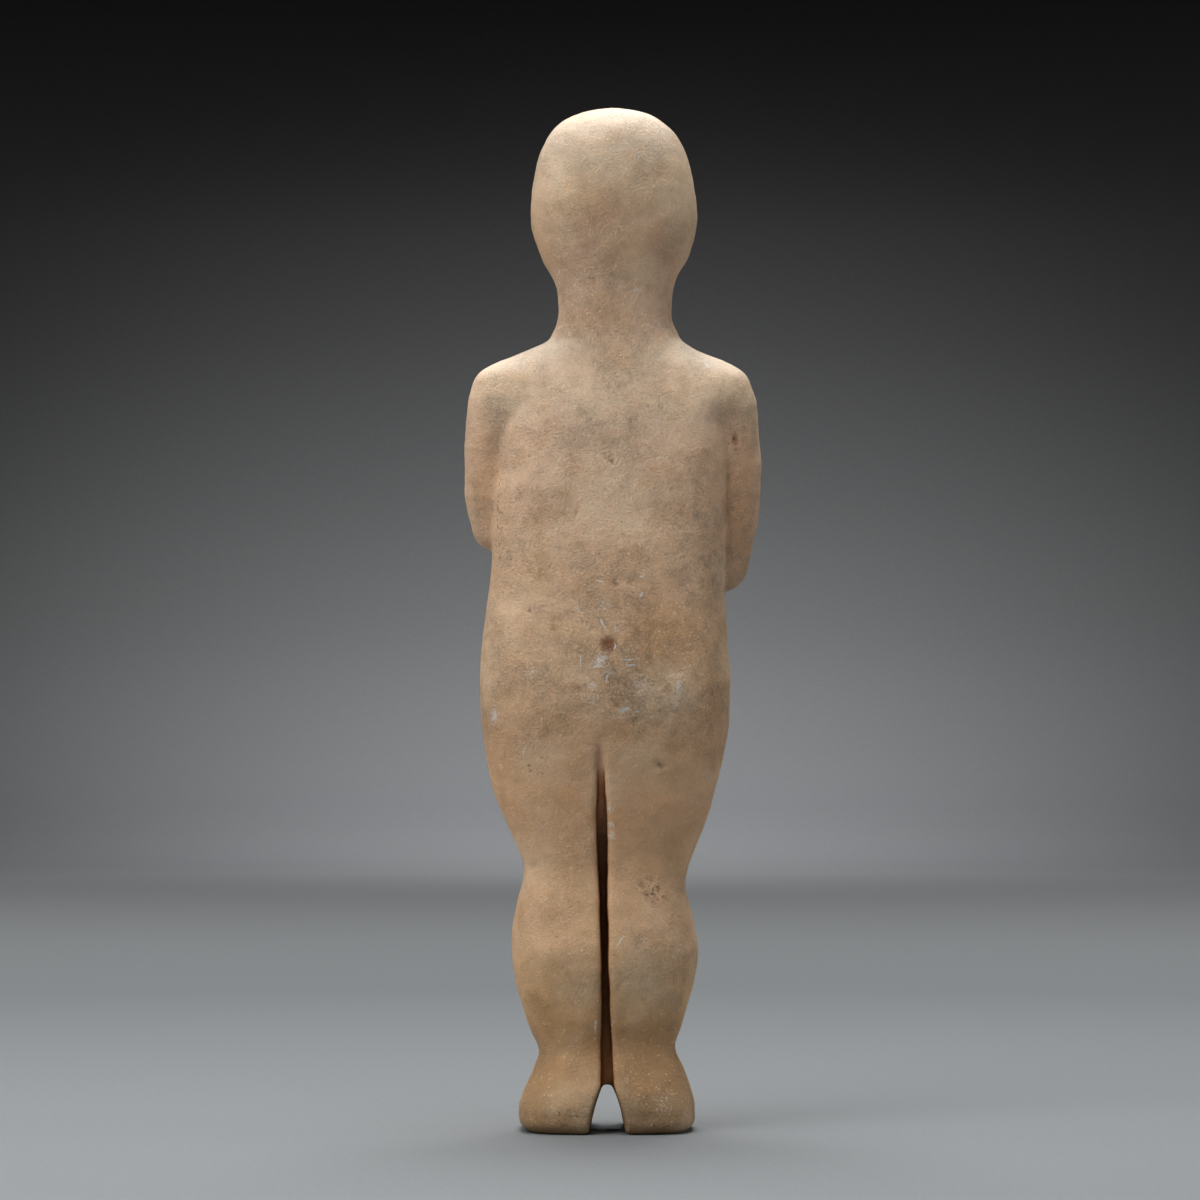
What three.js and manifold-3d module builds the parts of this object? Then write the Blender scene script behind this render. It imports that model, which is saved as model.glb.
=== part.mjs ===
// Cycladic standing figurine, carved from one block of coarse white marble that age has turned tan.
// Millimetres, +Z up. It faces -Y, its own left arm is at +X, and it stands on its soles at z = 0.
// A horizontal slice is a rounded rectangle of its own size at every height: those slices give the
// head, neck, trunk and the block of both legs. The folded arms, breasts and nose swell from it as
// tapered rods, the skin is lofted through the outline of all of them, and last the cleft that parts
// the legs and feet is cut out.

import * as THREE from 'three';
import { LoftGeometry } from 'three/addons/geometries/LoftGeometry.js';
import { mergeVertices } from 'three/addons/utils/BufferGeometryUtils.js';
import Module from 'manifold-3d';

// ---- Driving dimensions -------------------------------------------------------------------------

const HEIGHT = 250; // soles to crown
const SPOKES = 60; // points around each slice
const CROWN_FLAT = 1.6; // radius of the small flat that closes the crown
const CROWN_Y = 3.2; // the head leans back, so its crown lies behind the middle

// Outlines as [height, edge]. Left and right are seen from the figure's own side, so left is +X.
const LEFT_EDGE = [
	[ 0, 20.4 ], [ 1.2, 22.0 ], [ 5, 22.9 ], [ 10, 21.6 ], [ 15, 19.5 ], [ 19.5, 18.25 ], [ 24, 19.8 ],
	[ 29, 21.2 ], [ 34, 22.9 ], [ 40, 24.2 ], [ 45, 24.7 ], [ 56, 23.3 ], [ 64, 21.9 ], [ 71, 24.2 ],
	[ 83, 29.1 ], [ 96, 31.5 ], [ 108, 32.2 ], [ 120, 31.7 ], [ 133, 30.2 ], [ 152, 29.2 ], [ 168, 28.0 ],
	[ 180, 28.4 ],
];
const RIGHT_EDGE = [
	[ 0, - 18.0 ], [ 1.2, - 19.2 ], [ 5, - 19.9 ], [ 10, - 19.1 ], [ 15, - 17.3 ], [ 20.5, - 15.1 ],
	[ 25, - 16.6 ], [ 35, - 19.5 ], [ 45, - 20.8 ], [ 50, - 20.1 ], [ 55, - 18.9 ], [ 60, - 17.95 ],
	[ 64, - 18.5 ], [ 71, - 20.9 ], [ 83, - 24.9 ], [ 96, - 27.6 ], [ 108, - 28.6 ], [ 120, - 28.0 ],
	[ 133, - 27.1 ], [ 152, - 27.8 ], [ 168, - 28.4 ], [ 180, - 29.2 ],
];
// From the shoulders up both outlines share their heights: [height, left, right].
const SHOULDERS_UP = [
	[ 185.5, 29.2, - 29.2 ], [ 187.5, 26.8, - 26.9 ], [ 190, 21.7, - 21.4 ], [ 192.5, 16.4, - 17.2 ],
	[ 195.5, 14.2, - 15.2 ], [ 203, 13.3, - 14.1 ], [ 208, 14.2, - 15.3 ], [ 214, 17.5, - 18.5 ],
	[ 220, 19.7, - 20.2 ], [ 226, 20.0, - 20.2 ], [ 233, 18.95, - 19.3 ], [ 240, 16.9, - 17.0 ],
	[ 244.4, 14.1, - 14.1 ], [ 247.3, 10.4, - 10.2 ], [ HEIGHT, CROWN_FLAT, - CROWN_FLAT ],
];
// The side view: [height, front, back].
const SIDE_VIEW = [
	[ 0, - 20.4, 14.4 ], [ 1.2, - 21.5, 15.8 ], [ 4.5, - 22.0, 16.6 ], [ 9, - 20.6, 16.5 ],
	[ 14, - 16.6, 14.4 ], [ 20, - 12.6, 11.9 ], [ 28, - 12.2, 13.4 ], [ 45, - 12.8, 17.2 ],
	[ 56, - 13.6, 15.2 ], [ 63, - 14.6, 13.8 ], [ 72, - 15.4, 15.2 ], [ 84, - 16.8, 18.2 ],
	[ 97, - 17.8, 21.2 ], [ 105, - 18.2, 22.0 ], [ 116, - 18.4, 20.8 ], [ 130, - 17.4, 18.2 ],
	[ 148, - 16.2, 16.8 ], [ 166, - 15.8, 16.8 ], [ 178, - 14.4, 15.6 ], [ 186, - 11.8, 12.8 ],
	[ 191, - 9.6, 10.6 ], [ 196, - 8.8, 9.4 ], [ 202, - 9.4, 8.8 ], [ 206, - 12.4, 9.2 ],
	[ 210, - 15.2, 10.4 ], [ 218, - 16.2, 13.0 ], [ 227, - 15.2, 15.2 ], [ 236, - 12.2, 15.8 ],
	[ 242, - 9.2, 14.6 ], [ 246.5, - 5.4, 11.8 ], [ 249, - 1.4, 8.2 ],
	[ HEIGHT, CROWN_Y - CROWN_FLAT, CROWN_Y + CROWN_FLAT ],
];
// How square a slice is: 2 is an ellipse, and larger is nearer to a rectangle.
const SQUARENESS = [
	[ 0, 3.6 ], [ 10, 3.2 ], [ 22, 2.7 ], [ 60, 2.6 ], [ 105, 2.6 ], [ 150, 2.8 ], [ 182, 2.5 ],
	[ 200, 2.2 ], [ 215, 2.3 ], [ HEIGHT, 2.2 ],
];

// Rods as { at: [x, y, z], r: radius }. The left forearm lies above the right one, across the waist.
const LEFT_ARM = [
	{ at: [ 26.3, 0.4, 176.7 ], r: 9.0 },
	{ at: [ 28.9, - 0.8, 167 ], r: 7.5 },
	{ at: [ 29.2, - 2.2, 156 ], r: 7.2 },
	{ at: [ 27.9, - 4.4, 148.2 ], r: 7.1 },
	{ at: [ 25.2, - 9.0, 148.9 ], r: 6.5 },
	{ at: [ 17.0, - 12.7, 150.2 ], r: 5.8 },
	{ at: [ 4.0, - 14.8, 150.6 ], r: 5.4 },
	{ at: [ - 8.0, - 14.6, 151.0 ], r: 5.3 },
	{ at: [ - 14.5, - 13.2, 151.2 ], r: 5.1 },
];
const RIGHT_ARM = [
	{ at: [ - 26.7, 0.4, 175.9 ], r: 8.8 },
	{ at: [ - 29.0, - 0.8, 163 ], r: 7.3 },
	{ at: [ - 28.7, - 2.2, 150 ], r: 6.85 },
	{ at: [ - 26.2, - 4.4, 138.4 ], r: 6.9 },
	{ at: [ - 23.6, - 9.0, 138.0 ], r: 6.3 },
	{ at: [ - 16.0, - 13.0, 138.4 ], r: 5.7 },
	{ at: [ - 4.0, - 15.2, 138.8 ], r: 5.4 },
	{ at: [ 9.0, - 15.0, 139.0 ], r: 5.3 },
	{ at: [ 15.5, - 13.8, 139.2 ], r: 5.1 },
];
const LEFT_BREAST = [ { at: [ 10.2, - 11.4, 165.5 ], r: 6.0 } ];
const RIGHT_BREAST = [ { at: [ - 10.4, - 11.4, 165.5 ], r: 6.0 } ];
const NOSE = [ { at: [ - 0.3, - 12.8, 230 ], r: 2.0 }, { at: [ - 0.3, - 16.2, 218.5 ], r: 3.0 } ];

// Fillet radii where two forms meet. The groove between arm and trunk is crisp, and melts away at
// the shoulder.
const GROOVE_FILLET = 1.0;
const SHOULDER_FILLET = 9;
const SHOULDER_FROM = 171;
const SHOULDER_TO = 184;
const SWELLING_FILLET = 4;
const NOSE_FILLET = 1.8;

// The cleft that parts the legs leans a little, and opens into an arch between the feet.
const CLEFT_TOP = 98;
const CLEFT_FULL = 84; // below this height it has its full width
const CLEFT_HALF_WIDTH = 1.25;
const CLEFT_TOP_X = 3.1;
const CLEFT_FOOT_X = 1.3;
const ARCH_TOP = 11.8;
const ARCH_HALF_WIDTHS = [
	[ - 1, 4.4 ], [ 0, 4.3 ], [ 3, 3.8 ], [ 6, 3.1 ], [ 9, 2.2 ], [ 11, 1.5 ], [ 13, 1.2 ],
];
const ARCH_LEVELS = [ - 1, 1, 3, 5, 7, 8.5, 10, 11, ARCH_TOP ];
const ARCH_CREST = 0.3; // half width of the arch's roof
const ARCH_THROAT = 12; // within this distance of the middle the arch keeps its own width
const ARCH_FLARE = 0.08; // beyond it each side widens by this much for every millimetre outward
const WEB_HALF = 2.0; // half the thickness of the web left between the legs at its thinnest
const WEB_BACK = [
	[ 0, 6 ], [ 20, 6.5 ], [ 30, 3.2 ], [ 62, 2.4 ], [ 76, 8 ], [ 84, 14 ], [ 90, 17.2 ], [ 94, 19.4 ],
	[ CLEFT_TOP, 22.4 ],
];
const WEB_FRONT = [
	[ 0, - 6 ], [ 20, - 6.5 ], [ 30, - 3.2 ], [ 62, - 4 ], [ 80, - 9 ], [ 88, - 14 ], [ 94, - 17.0 ],
	[ CLEFT_TOP, - 19.4 ],
];
const SLOT_LEVELS = 16;
const SLOT_OVERLAP = 2; // a slot starts this far below the arch's roof, so the two cuts meet
const SLOT_TIP = 0.05; // half width of a slot at its very top
const BEYOND = 40; // how far a cutter reaches past the marble

// ---- Curves and distances -----------------------------------------------------------------------

// A smooth curve through [height, value] knots, with each knot's slope taken from its two neighbours.
function curveThrough( knots ) {

	const last = knots.length - 1;
	const chord = i => {

		const [ lowZ, lowValue ] = knots[ i ];
		const [ highZ, highValue ] = knots[ i + 1 ];
		return ( highValue - lowValue ) / ( highZ - lowZ );

	};

	const slopes = knots.map( ( knot, i ) => {

		if ( i === 0 ) return chord( 0 );
		if ( i === last ) return chord( last - 1 );
		const below = knot[ 0 ] - knots[ i - 1 ][ 0 ];
		const above = knots[ i + 1 ][ 0 ] - knot[ 0 ];
		return ( above * chord( i - 1 ) + below * chord( i ) ) / ( above + below );

	} );

	return z => {

		if ( z <= knots[ 0 ][ 0 ] ) return knots[ 0 ][ 1 ];
		if ( z >= knots[ last ][ 0 ] ) return knots[ last ][ 1 ];
		let i = 0;
		while ( z > knots[ i + 1 ][ 0 ] ) i ++;
		const span = knots[ i + 1 ][ 0 ] - knots[ i ][ 0 ];
		const t = ( z - knots[ i ][ 0 ] ) / span;
		return knots[ i ][ 1 ] * ( 1 + 2 * t ) * ( 1 - t ) ** 2
			+ slopes[ i ] * span * t * ( 1 - t ) ** 2
			+ knots[ i + 1 ][ 1 ] * t * t * ( 3 - 2 * t ) + slopes[ i + 1 ] * span * t * t * ( t - 1 );

	};

}

// A slice's centre and half size along one axis. The half size is smoothed as its square, so that
// it closes round.
function extentBetween( lowEdge, highEdge ) {

	const unique = new Set( [ ...lowEdge, ...highEdge ].map( knot => knot[ 0 ] ) );
	const heights = [ ...unique ].sort( ( a, b ) => a - b );
	const low = curveThrough( lowEdge );
	const high = curveThrough( highEdge );
	const centre = curveThrough( heights.map( z => [ z, ( low( z ) + high( z ) ) / 2 ] ) );
	const halfSquared = curveThrough( heights.map( z => [ z, ( ( high( z ) - low( z ) ) / 2 ) ** 2 ] ) );
	return { centre, half: z => Math.sqrt( Math.max( halfSquared( z ), 0.01 ) ) };

}

const acrossExtent = extentBetween(
	[ ...RIGHT_EDGE, ...SHOULDERS_UP.map( ( [ z, , right ] ) => [ z, right ] ) ],
	[ ...LEFT_EDGE, ...SHOULDERS_UP.map( ( [ z, left ] ) => [ z, left ] ) ],
);
const depthExtent = extentBetween(
	SIDE_VIEW.map( ( [ z, front ] ) => [ z, front ] ),
	SIDE_VIEW.map( ( [ z, , back ] ) => [ z, back ] ),
);
const squareness = curveThrough( SQUARENESS );

// How far a point lies outside the slice at its height, measured straight out from the slice's centre.
function trunkDistance( x, y, z ) {

	const dx = x - acrossExtent.centre( z );
	const dy = y - depthExtent.centre( z );
	const power = squareness( z );
	const share = ( Math.abs( dx / acrossExtent.half( z ) ) ** power
		+ Math.abs( dy / depthExtent.half( z ) ) ** power ) ** ( 1 / power );
	return share < 1e-6 ? - depthExtent.half( z ) : Math.hypot( dx, dy ) * ( 1 - 1 / share );

}

// Distance to a chain of tapered rods, which may be a single ball.
function rodDistance( rod, x, y, z ) {

	const [ firstX, firstY, firstZ ] = rod[ 0 ].at;
	let nearest = Math.hypot( x - firstX, y - firstY, z - firstZ ) - rod[ 0 ].r;
	for ( let i = 0; i + 1 < rod.length; i ++ ) {

		const [ ax, ay, az ] = rod[ i ].at;
		const [ bx, by, bz ] = rod[ i + 1 ].at;
		const ux = bx - ax, uy = by - ay, uz = bz - az;
		const length = Math.hypot( ux, uy, uz );
		const along = ( ( x - ax ) * ux + ( y - ay ) * uy + ( z - az ) * uz ) / length ** 2;
		const t = Math.min( 1, Math.max( 0, along ) );
		const away = Math.hypot( x - ax - t * ux, y - ay - t * uy, z - az - t * uz );
		nearest = Math.min( nearest, away - rod[ i ].r - t * ( rod[ i + 1 ].r - rod[ i ].r ) );

	}

	return nearest;

}

// The nearer of two forms, joined by a fillet.
function join( a, b, fillet ) {

	const near = Math.max( fillet - Math.abs( a - b ), 0 ) / fillet;
	return Math.min( a, b ) - near * near * fillet / 4;

}

// The whole figure before the cleft is cut: below zero is marble.
function marbleDistance( x, y, z ) {

	const rise = Math.min( 1, Math.max( 0, ( z - SHOULDER_FROM ) / ( SHOULDER_TO - SHOULDER_FROM ) ) );
	const melt = rise * rise * ( 3 - 2 * rise );
	const armFillet = GROOVE_FILLET + ( SHOULDER_FILLET - GROOVE_FILLET ) * melt;
	const breasts = Math.min( rodDistance( LEFT_BREAST, x, y, z ), rodDistance( RIGHT_BREAST, x, y, z ) );
	const arms = Math.min( rodDistance( LEFT_ARM, x, y, z ), rodDistance( RIGHT_ARM, x, y, z ) );
	let distance = join( trunkDistance( x, y, z ), breasts, SWELLING_FILLET );
	distance = join( distance, arms, armFillet );
	return join( distance, rodDistance( NOSE, x, y, z ), NOSE_FILLET );

}

// ---- The skin -----------------------------------------------------------------------------------

const OUTSIDE = 48; // every slice lies within this radius
const STEP_IN = 0.6;
const HALVINGS = 14;

// The skin's point on a spoke: in from outside until the spoke meets marble, then halved down to
// the surface.
function skinPoint( angle, z ) {

	const cx = acrossExtent.centre( z );
	const cy = depthExtent.centre( z );
	const wayX = Math.cos( angle );
	const wayY = Math.sin( angle );
	const depthAt = radius => marbleDistance( cx + radius * wayX, cy + radius * wayY, z );
	let outer = OUTSIDE;
	while ( outer > STEP_IN && depthAt( outer - STEP_IN ) > 0 ) outer -= STEP_IN;
	let inner = outer - STEP_IN;
	for ( let i = 0; i < HALVINGS; i ++ ) {

		const middle = ( inner + outer ) / 2;
		if ( depthAt( middle ) > 0 ) outer = middle; else inner = middle;

	}

	return new THREE.Vector3( cx + inner * wayX, cy + inner * wayY, z );

}

// Slices lie close together at the rounded soles and crown, and wider apart in between, as
// [height, spacing].
const SLICE_SPACING = curveThrough( [
	[ 0, 0.9 ], [ 6, 2.6 ], [ 12, 3.4 ], [ 130, 3.6 ], [ 142, 2.8 ], [ 160, 3.2 ], [ 184, 2.6 ],
	[ 196, 2.6 ], [ 215, 3.4 ], [ 236, 3.2 ], [ 246, 1.6 ], [ 249, 0.7 ], [ HEIGHT, 0.3 ],
] );

function sliceHeights() {

	const heights = [];
	for ( let z = 0; z < HEIGHT - 0.15; z += SLICE_SPACING( z ) ) heights.push( z );
	return [ ...heights, HEIGHT ];

}

function skinGeometry() {

	const sections = sliceHeights().map( z => {

		const ring = [];
		for ( let i = 0; i < SPOKES; i ++ ) {

			const angle = ( i + 0.5 ) / SPOKES * Math.PI * 2;
			ring.push( skinPoint( angle, z ) );

		}

		return ring;

	} );
	return new LoftGeometry( sections, { capStart: true, capEnd: true } );

}

// ---- The cleft ----------------------------------------------------------------------------------

const wasm = await Module();
wasm.setup();

function solidOf( geometry ) {

	const bare = new THREE.BufferGeometry();
	bare.setAttribute( 'position', geometry.attributes.position );
	bare.setIndex( geometry.index );
	const merged = mergeVertices( bare, 1e-4 );
	return new wasm.Manifold( new wasm.Mesh( {
		numProp: 3,
		vertProperties: merged.attributes.position.array,
		triVerts: new Uint32Array( merged.index.array ),
	} ) );

}

const archHalfWidth = curveThrough( ARCH_HALF_WIDTHS );
const webBack = curveThrough( WEB_BACK );
const webFront = curveThrough( WEB_FRONT );
const cleftLean = ( CLEFT_TOP_X - CLEFT_FOOT_X ) / ( CLEFT_TOP - ARCH_TOP );
const cleftX = z => CLEFT_FOOT_X + cleftLean * Math.max( 0, z - ARCH_TOP );

function cleftHalfWidth( z ) {

	const closing = Math.min( 1, Math.max( 0, ( CLEFT_TOP - z ) / ( CLEFT_TOP - CLEFT_FULL ) ) );
	return Math.max( CLEFT_HALF_WIDTH * Math.sqrt( closing ), SLOT_TIP );

}

// A stack of rectangles from one height to another: a slot cut in from the front or the back.
function slotGeometry( nearY, farY ) {

	const base = ARCH_TOP - SLOT_OVERLAP;
	const sections = [];
	for ( let i = 0; i <= SLOT_LEVELS; i ++ ) {

		const z = base + ( CLEFT_TOP - base ) * i / SLOT_LEVELS;
		const left = cleftX( z ) + cleftHalfWidth( z );
		const right = cleftX( z ) - cleftHalfWidth( z );
		const low = nearY( z );
		const high = farY( z );
		sections.push( [ [ right, low ], [ left, low ], [ left, high ], [ right, high ] ]
			.map( ( [ x, y ] ) => new THREE.Vector3( x, y, z ) ) );

	}

	return new LoftGeometry( sections, { capStart: true, capEnd: true } );

}

// The arch between the feet: a tunnel from front to back that widens at both of its mouths.
function archGeometry() {

	const stations = [ - BEYOND, - ARCH_THROAT, ARCH_THROAT, BEYOND ];
	const sections = ARCH_LEVELS.map( z => {

		const rounding = Math.sqrt( 1 - ( Math.max( 0, z ) / ARCH_TOP ) ** 4 );
		const flare = y => Math.max( 0, Math.abs( y ) - ARCH_THROAT ) * ARCH_FLARE;
		const half = y => Math.max( ( archHalfWidth( z ) + flare( y ) ) * rounding, ARCH_CREST );
		const left = stations.map( y => new THREE.Vector3( cleftX( z ) + half( y ), y, z ) );
		const right = stations.map( y => new THREE.Vector3( cleftX( z ) - half( y ), y, z ) ).reverse();
		return [ ...left, ...right ];

	} );
	return new LoftGeometry( sections, { capStart: true, capEnd: true } );

}

function figurineGeometry() {

	const backFloor = z => Math.max( webBack( z ), WEB_HALF );
	const frontFloor = z => Math.min( webFront( z ), - WEB_HALF );
	const backSlot = solidOf( slotGeometry( backFloor, () => BEYOND ) );
	const frontSlot = solidOf( slotGeometry( () => - BEYOND, frontFloor ) );
	const carved = solidOf( skinGeometry() )
		.subtract( backSlot )
		.subtract( frontSlot )
		.subtract( solidOf( archGeometry() ) );
	const mesh = carved.getMesh();
	const geometry = new THREE.BufferGeometry();
	geometry.setAttribute( 'position', new THREE.BufferAttribute( mesh.vertProperties, 3 ) );
	geometry.setIndex( new THREE.BufferAttribute( mesh.triVerts, 1 ) );
	geometry.computeVertexNormals();
	return geometry;

}

// ---- The object ---------------------------------------------------------------------------------

const agedMarble = new THREE.MeshStandardMaterial( { color: 0xb99b7a, roughness: 0.62, metalness: 0 } );

const figurine = new THREE.Mesh( figurineGeometry(), agedMarble );
figurine.name = 'figurine';

const object = new THREE.Group();
object.add( figurine );

export default object;
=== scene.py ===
"""A standing Cycladic figurine in coarse white marble that age has turned tan.

The figurine is carved from one block, so it is one piece. Its skin is where a smooth distance form
is zero: rounded slices give the head, neck, trunk and legs, rods swell from them as arms, breasts
and nose, and a cleft is cut between the legs. The skin is then worn, pitted and cut with fine lines.
Forms are worked out in millimetres of a 250 mm figure, scaled to the solid's own height, and put
into the mesh in metres.
"""

import itertools
import logging
import math
from collections.abc import Callable
from dataclasses import dataclass, field
from enum import Enum
from functools import cached_property

import bpy
import numpy as np
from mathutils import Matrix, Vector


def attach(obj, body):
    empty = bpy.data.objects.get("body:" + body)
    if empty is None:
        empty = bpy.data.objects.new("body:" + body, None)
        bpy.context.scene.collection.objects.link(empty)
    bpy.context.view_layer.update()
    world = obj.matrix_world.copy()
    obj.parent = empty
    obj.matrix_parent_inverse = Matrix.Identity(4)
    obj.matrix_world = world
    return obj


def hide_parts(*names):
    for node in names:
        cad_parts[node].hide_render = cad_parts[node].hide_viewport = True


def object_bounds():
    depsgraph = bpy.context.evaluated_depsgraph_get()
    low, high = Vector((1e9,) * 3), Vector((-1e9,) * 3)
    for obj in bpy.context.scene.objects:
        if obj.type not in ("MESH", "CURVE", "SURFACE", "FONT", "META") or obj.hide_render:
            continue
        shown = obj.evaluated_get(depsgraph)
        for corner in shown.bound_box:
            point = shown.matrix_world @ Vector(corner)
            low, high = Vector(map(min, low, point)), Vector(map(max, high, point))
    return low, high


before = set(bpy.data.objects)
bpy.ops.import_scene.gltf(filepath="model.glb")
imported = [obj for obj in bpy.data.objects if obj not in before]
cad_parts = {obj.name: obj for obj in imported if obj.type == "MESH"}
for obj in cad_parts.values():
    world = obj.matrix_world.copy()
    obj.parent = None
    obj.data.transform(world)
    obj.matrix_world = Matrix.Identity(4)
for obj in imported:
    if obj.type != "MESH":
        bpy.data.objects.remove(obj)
cad_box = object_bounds()

Array = np.ndarray
Field = Callable[[Array], Array]

log = logging.getLogger("figurine")

NODE = "figurine"
NOMINAL_HEIGHT = 250.0  # millimetres, the height that every form below is worked out for
MM = 0.001


# ---- Curves, noise and distances ----------------------------------------------------------------


@dataclass(frozen=True)
class KnotCurve:
    """A smooth curve through knots, each a height and a value."""

    knots: tuple[tuple[float, float], ...]

    def at(self, heights: Array) -> Array:
        """Read the curve.

        Between two knots it is the cubic that meets both values and both slopes. A knot's slope is
        the mean of the two chords beside it, each weighted by the other one's length.

        Args:
            heights: Where to read it. Outside the knots it keeps its end values.

        Returns:
            One value for each height.
        """
        where, value = np.array(self.knots, dtype=float).T
        gap = np.diff(where)
        chord = np.diff(value) / gap
        inner = (gap[1:] * chord[:-1] + gap[:-1] * chord[1:]) / (gap[1:] + gap[:-1])
        slope = np.concatenate((chord[:1], inner, chord[-1:]))
        z = np.clip(heights, where[0], where[-1])
        i = np.clip(np.searchsorted(where, z, side="right") - 1, 0, len(gap) - 1)
        t = (z - where[i]) / gap[i]
        rising = value[i + 1] * t * t * (3 - 2 * t) + slope[i + 1] * gap[i] * t * t * (t - 1)
        falling = value[i] * (1 + 2 * t) * (1 - t) ** 2 + slope[i] * gap[i] * t * (1 - t) ** 2
        return rising + falling


def smoothstep(low: float, high: float, x: Array) -> Array:
    """Rise from 0 at low to 1 at high, level at both ends: 3t^2 - 2t^3."""
    t = np.clip((x - low) / (high - low), 0, 1)
    return t * t * (3 - 2 * t)


def join(a: Array, b: Array, fillet: Array | float) -> Array:
    """Join two forms: the lesser distance, less (what remains of the fillet)^2 / (4 fillets)."""
    near = np.maximum(fillet - np.abs(a - b), 0)
    return np.minimum(a, b) - near * near / (4 * fillet)


def cut(body: Array, cutter: Array, rounding: Array | float) -> Array:
    """Take a cutter out of a body, with its rims rounded."""
    return -join(-body, cutter, rounding)


def random_cells(cells: Array, seed: int) -> Array:
    """Give every lattice cell a repeatable random value from 0 to 1 by mixing its bits."""
    primes = np.array([73856093, 19349663, 83492791], dtype=np.uint64)
    key = (cells.astype(np.int64).astype(np.uint64) * primes).sum(axis=-1, dtype=np.uint64)
    key += np.uint64(seed * 2654435761)
    for factor in (0xFF51AFD7ED558CCD, 0xC4CEB9FE1A85EC53):
        key ^= key >> np.uint64(33)
        key *= np.uint64(factor)
    key ^= key >> np.uint64(33)
    return key.astype(float) / 2.0**64


def lattice_noise(points: Array, size: float, seed: int) -> Array:
    """Make smooth noise from -1 to 1.

    Random values stand at the corners of a cubic lattice and are blended across each cell by the
    quintic step 6t^5 - 15t^4 + 10t^3 along each axis.

    Args:
        points: Places, in millimetres.
        size: The lattice's cell, in millimetres.
        seed: Picks one noise of many.

    Returns:
        One value for each point.
    """
    scaled = points / size
    base = np.floor(scaled)
    t = scaled - base
    step = t * t * t * (t * (6 * t - 15) + 10)
    total = np.zeros(len(points))
    for corner in itertools.product((0, 1), repeat=3):
        weight = np.prod(np.where(np.array(corner, bool), step, 1 - step), axis=1)
        total += weight * random_cells(base + np.array(corner), seed)
    return 2 * total - 1


def scattered_pits(points: Array, size: float, radius: float, share: float, seed: int) -> Array:
    """Scatter round pits over space.

    Every lattice cell holds one pit at a random place, and only a share of them are kept. A pit's
    depth is (1 - (distance / radius)^2)^2 inside its radius, which is itself varied by half.

    Args:
        points: Places, in millimetres.
        size: The lattice's cell, in millimetres.
        radius: The largest pit's radius, in millimetres.
        share: How many of the pits are kept, from 0 to 1.
        seed: Picks one scatter of many.

    Returns:
        Depth from 0, no pit, to 1, for each point.
    """
    base = np.floor(points / size)
    depth = np.zeros(len(points))
    for step in itertools.product((-1, 0, 1), repeat=3):
        cell = base + np.array(step)
        place = np.stack([random_cells(cell, seed + axis) for axis in range(3)], axis=1)
        reach = radius * (0.5 + 0.5 * random_cells(cell, seed + 3))
        away = np.linalg.norm(points - (cell + place) * size, axis=1) / reach
        kept = random_cells(cell, seed + 4) < share
        depth = np.maximum(depth, kept * np.maximum(1 - away * away, 0) ** 2)
    return depth


# ---- The carved form ----------------------------------------------------------------------------


@dataclass(frozen=True)
class Extent:
    """A slice's centre and half size along one axis, from the knots of its two edges."""

    low: tuple[tuple[float, float], ...]
    high: tuple[tuple[float, float], ...]

    @cached_property
    def heights(self) -> Array:
        """Every height at which either edge has a knot."""
        return np.array(sorted({z for z, _ in self.low + self.high}))

    @cached_property
    def centre(self) -> KnotCurve:
        """Half way between the edges."""
        low, high = KnotCurve(self.low).at(self.heights), KnotCurve(self.high).at(self.heights)
        return KnotCurve(tuple(zip(self.heights, (low + high) / 2)))

    @cached_property
    def half_squared(self) -> KnotCurve:
        """The half size, smoothed as its square so that the form closes round."""
        low, high = KnotCurve(self.low).at(self.heights), KnotCurve(self.high).at(self.heights)
        return KnotCurve(tuple(zip(self.heights, ((high - low) / 2) ** 2)))

    def half(self, z: Array) -> Array:
        """Half the slice's size at a height."""
        return np.sqrt(np.maximum(self.half_squared.at(z), 0.01))


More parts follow.
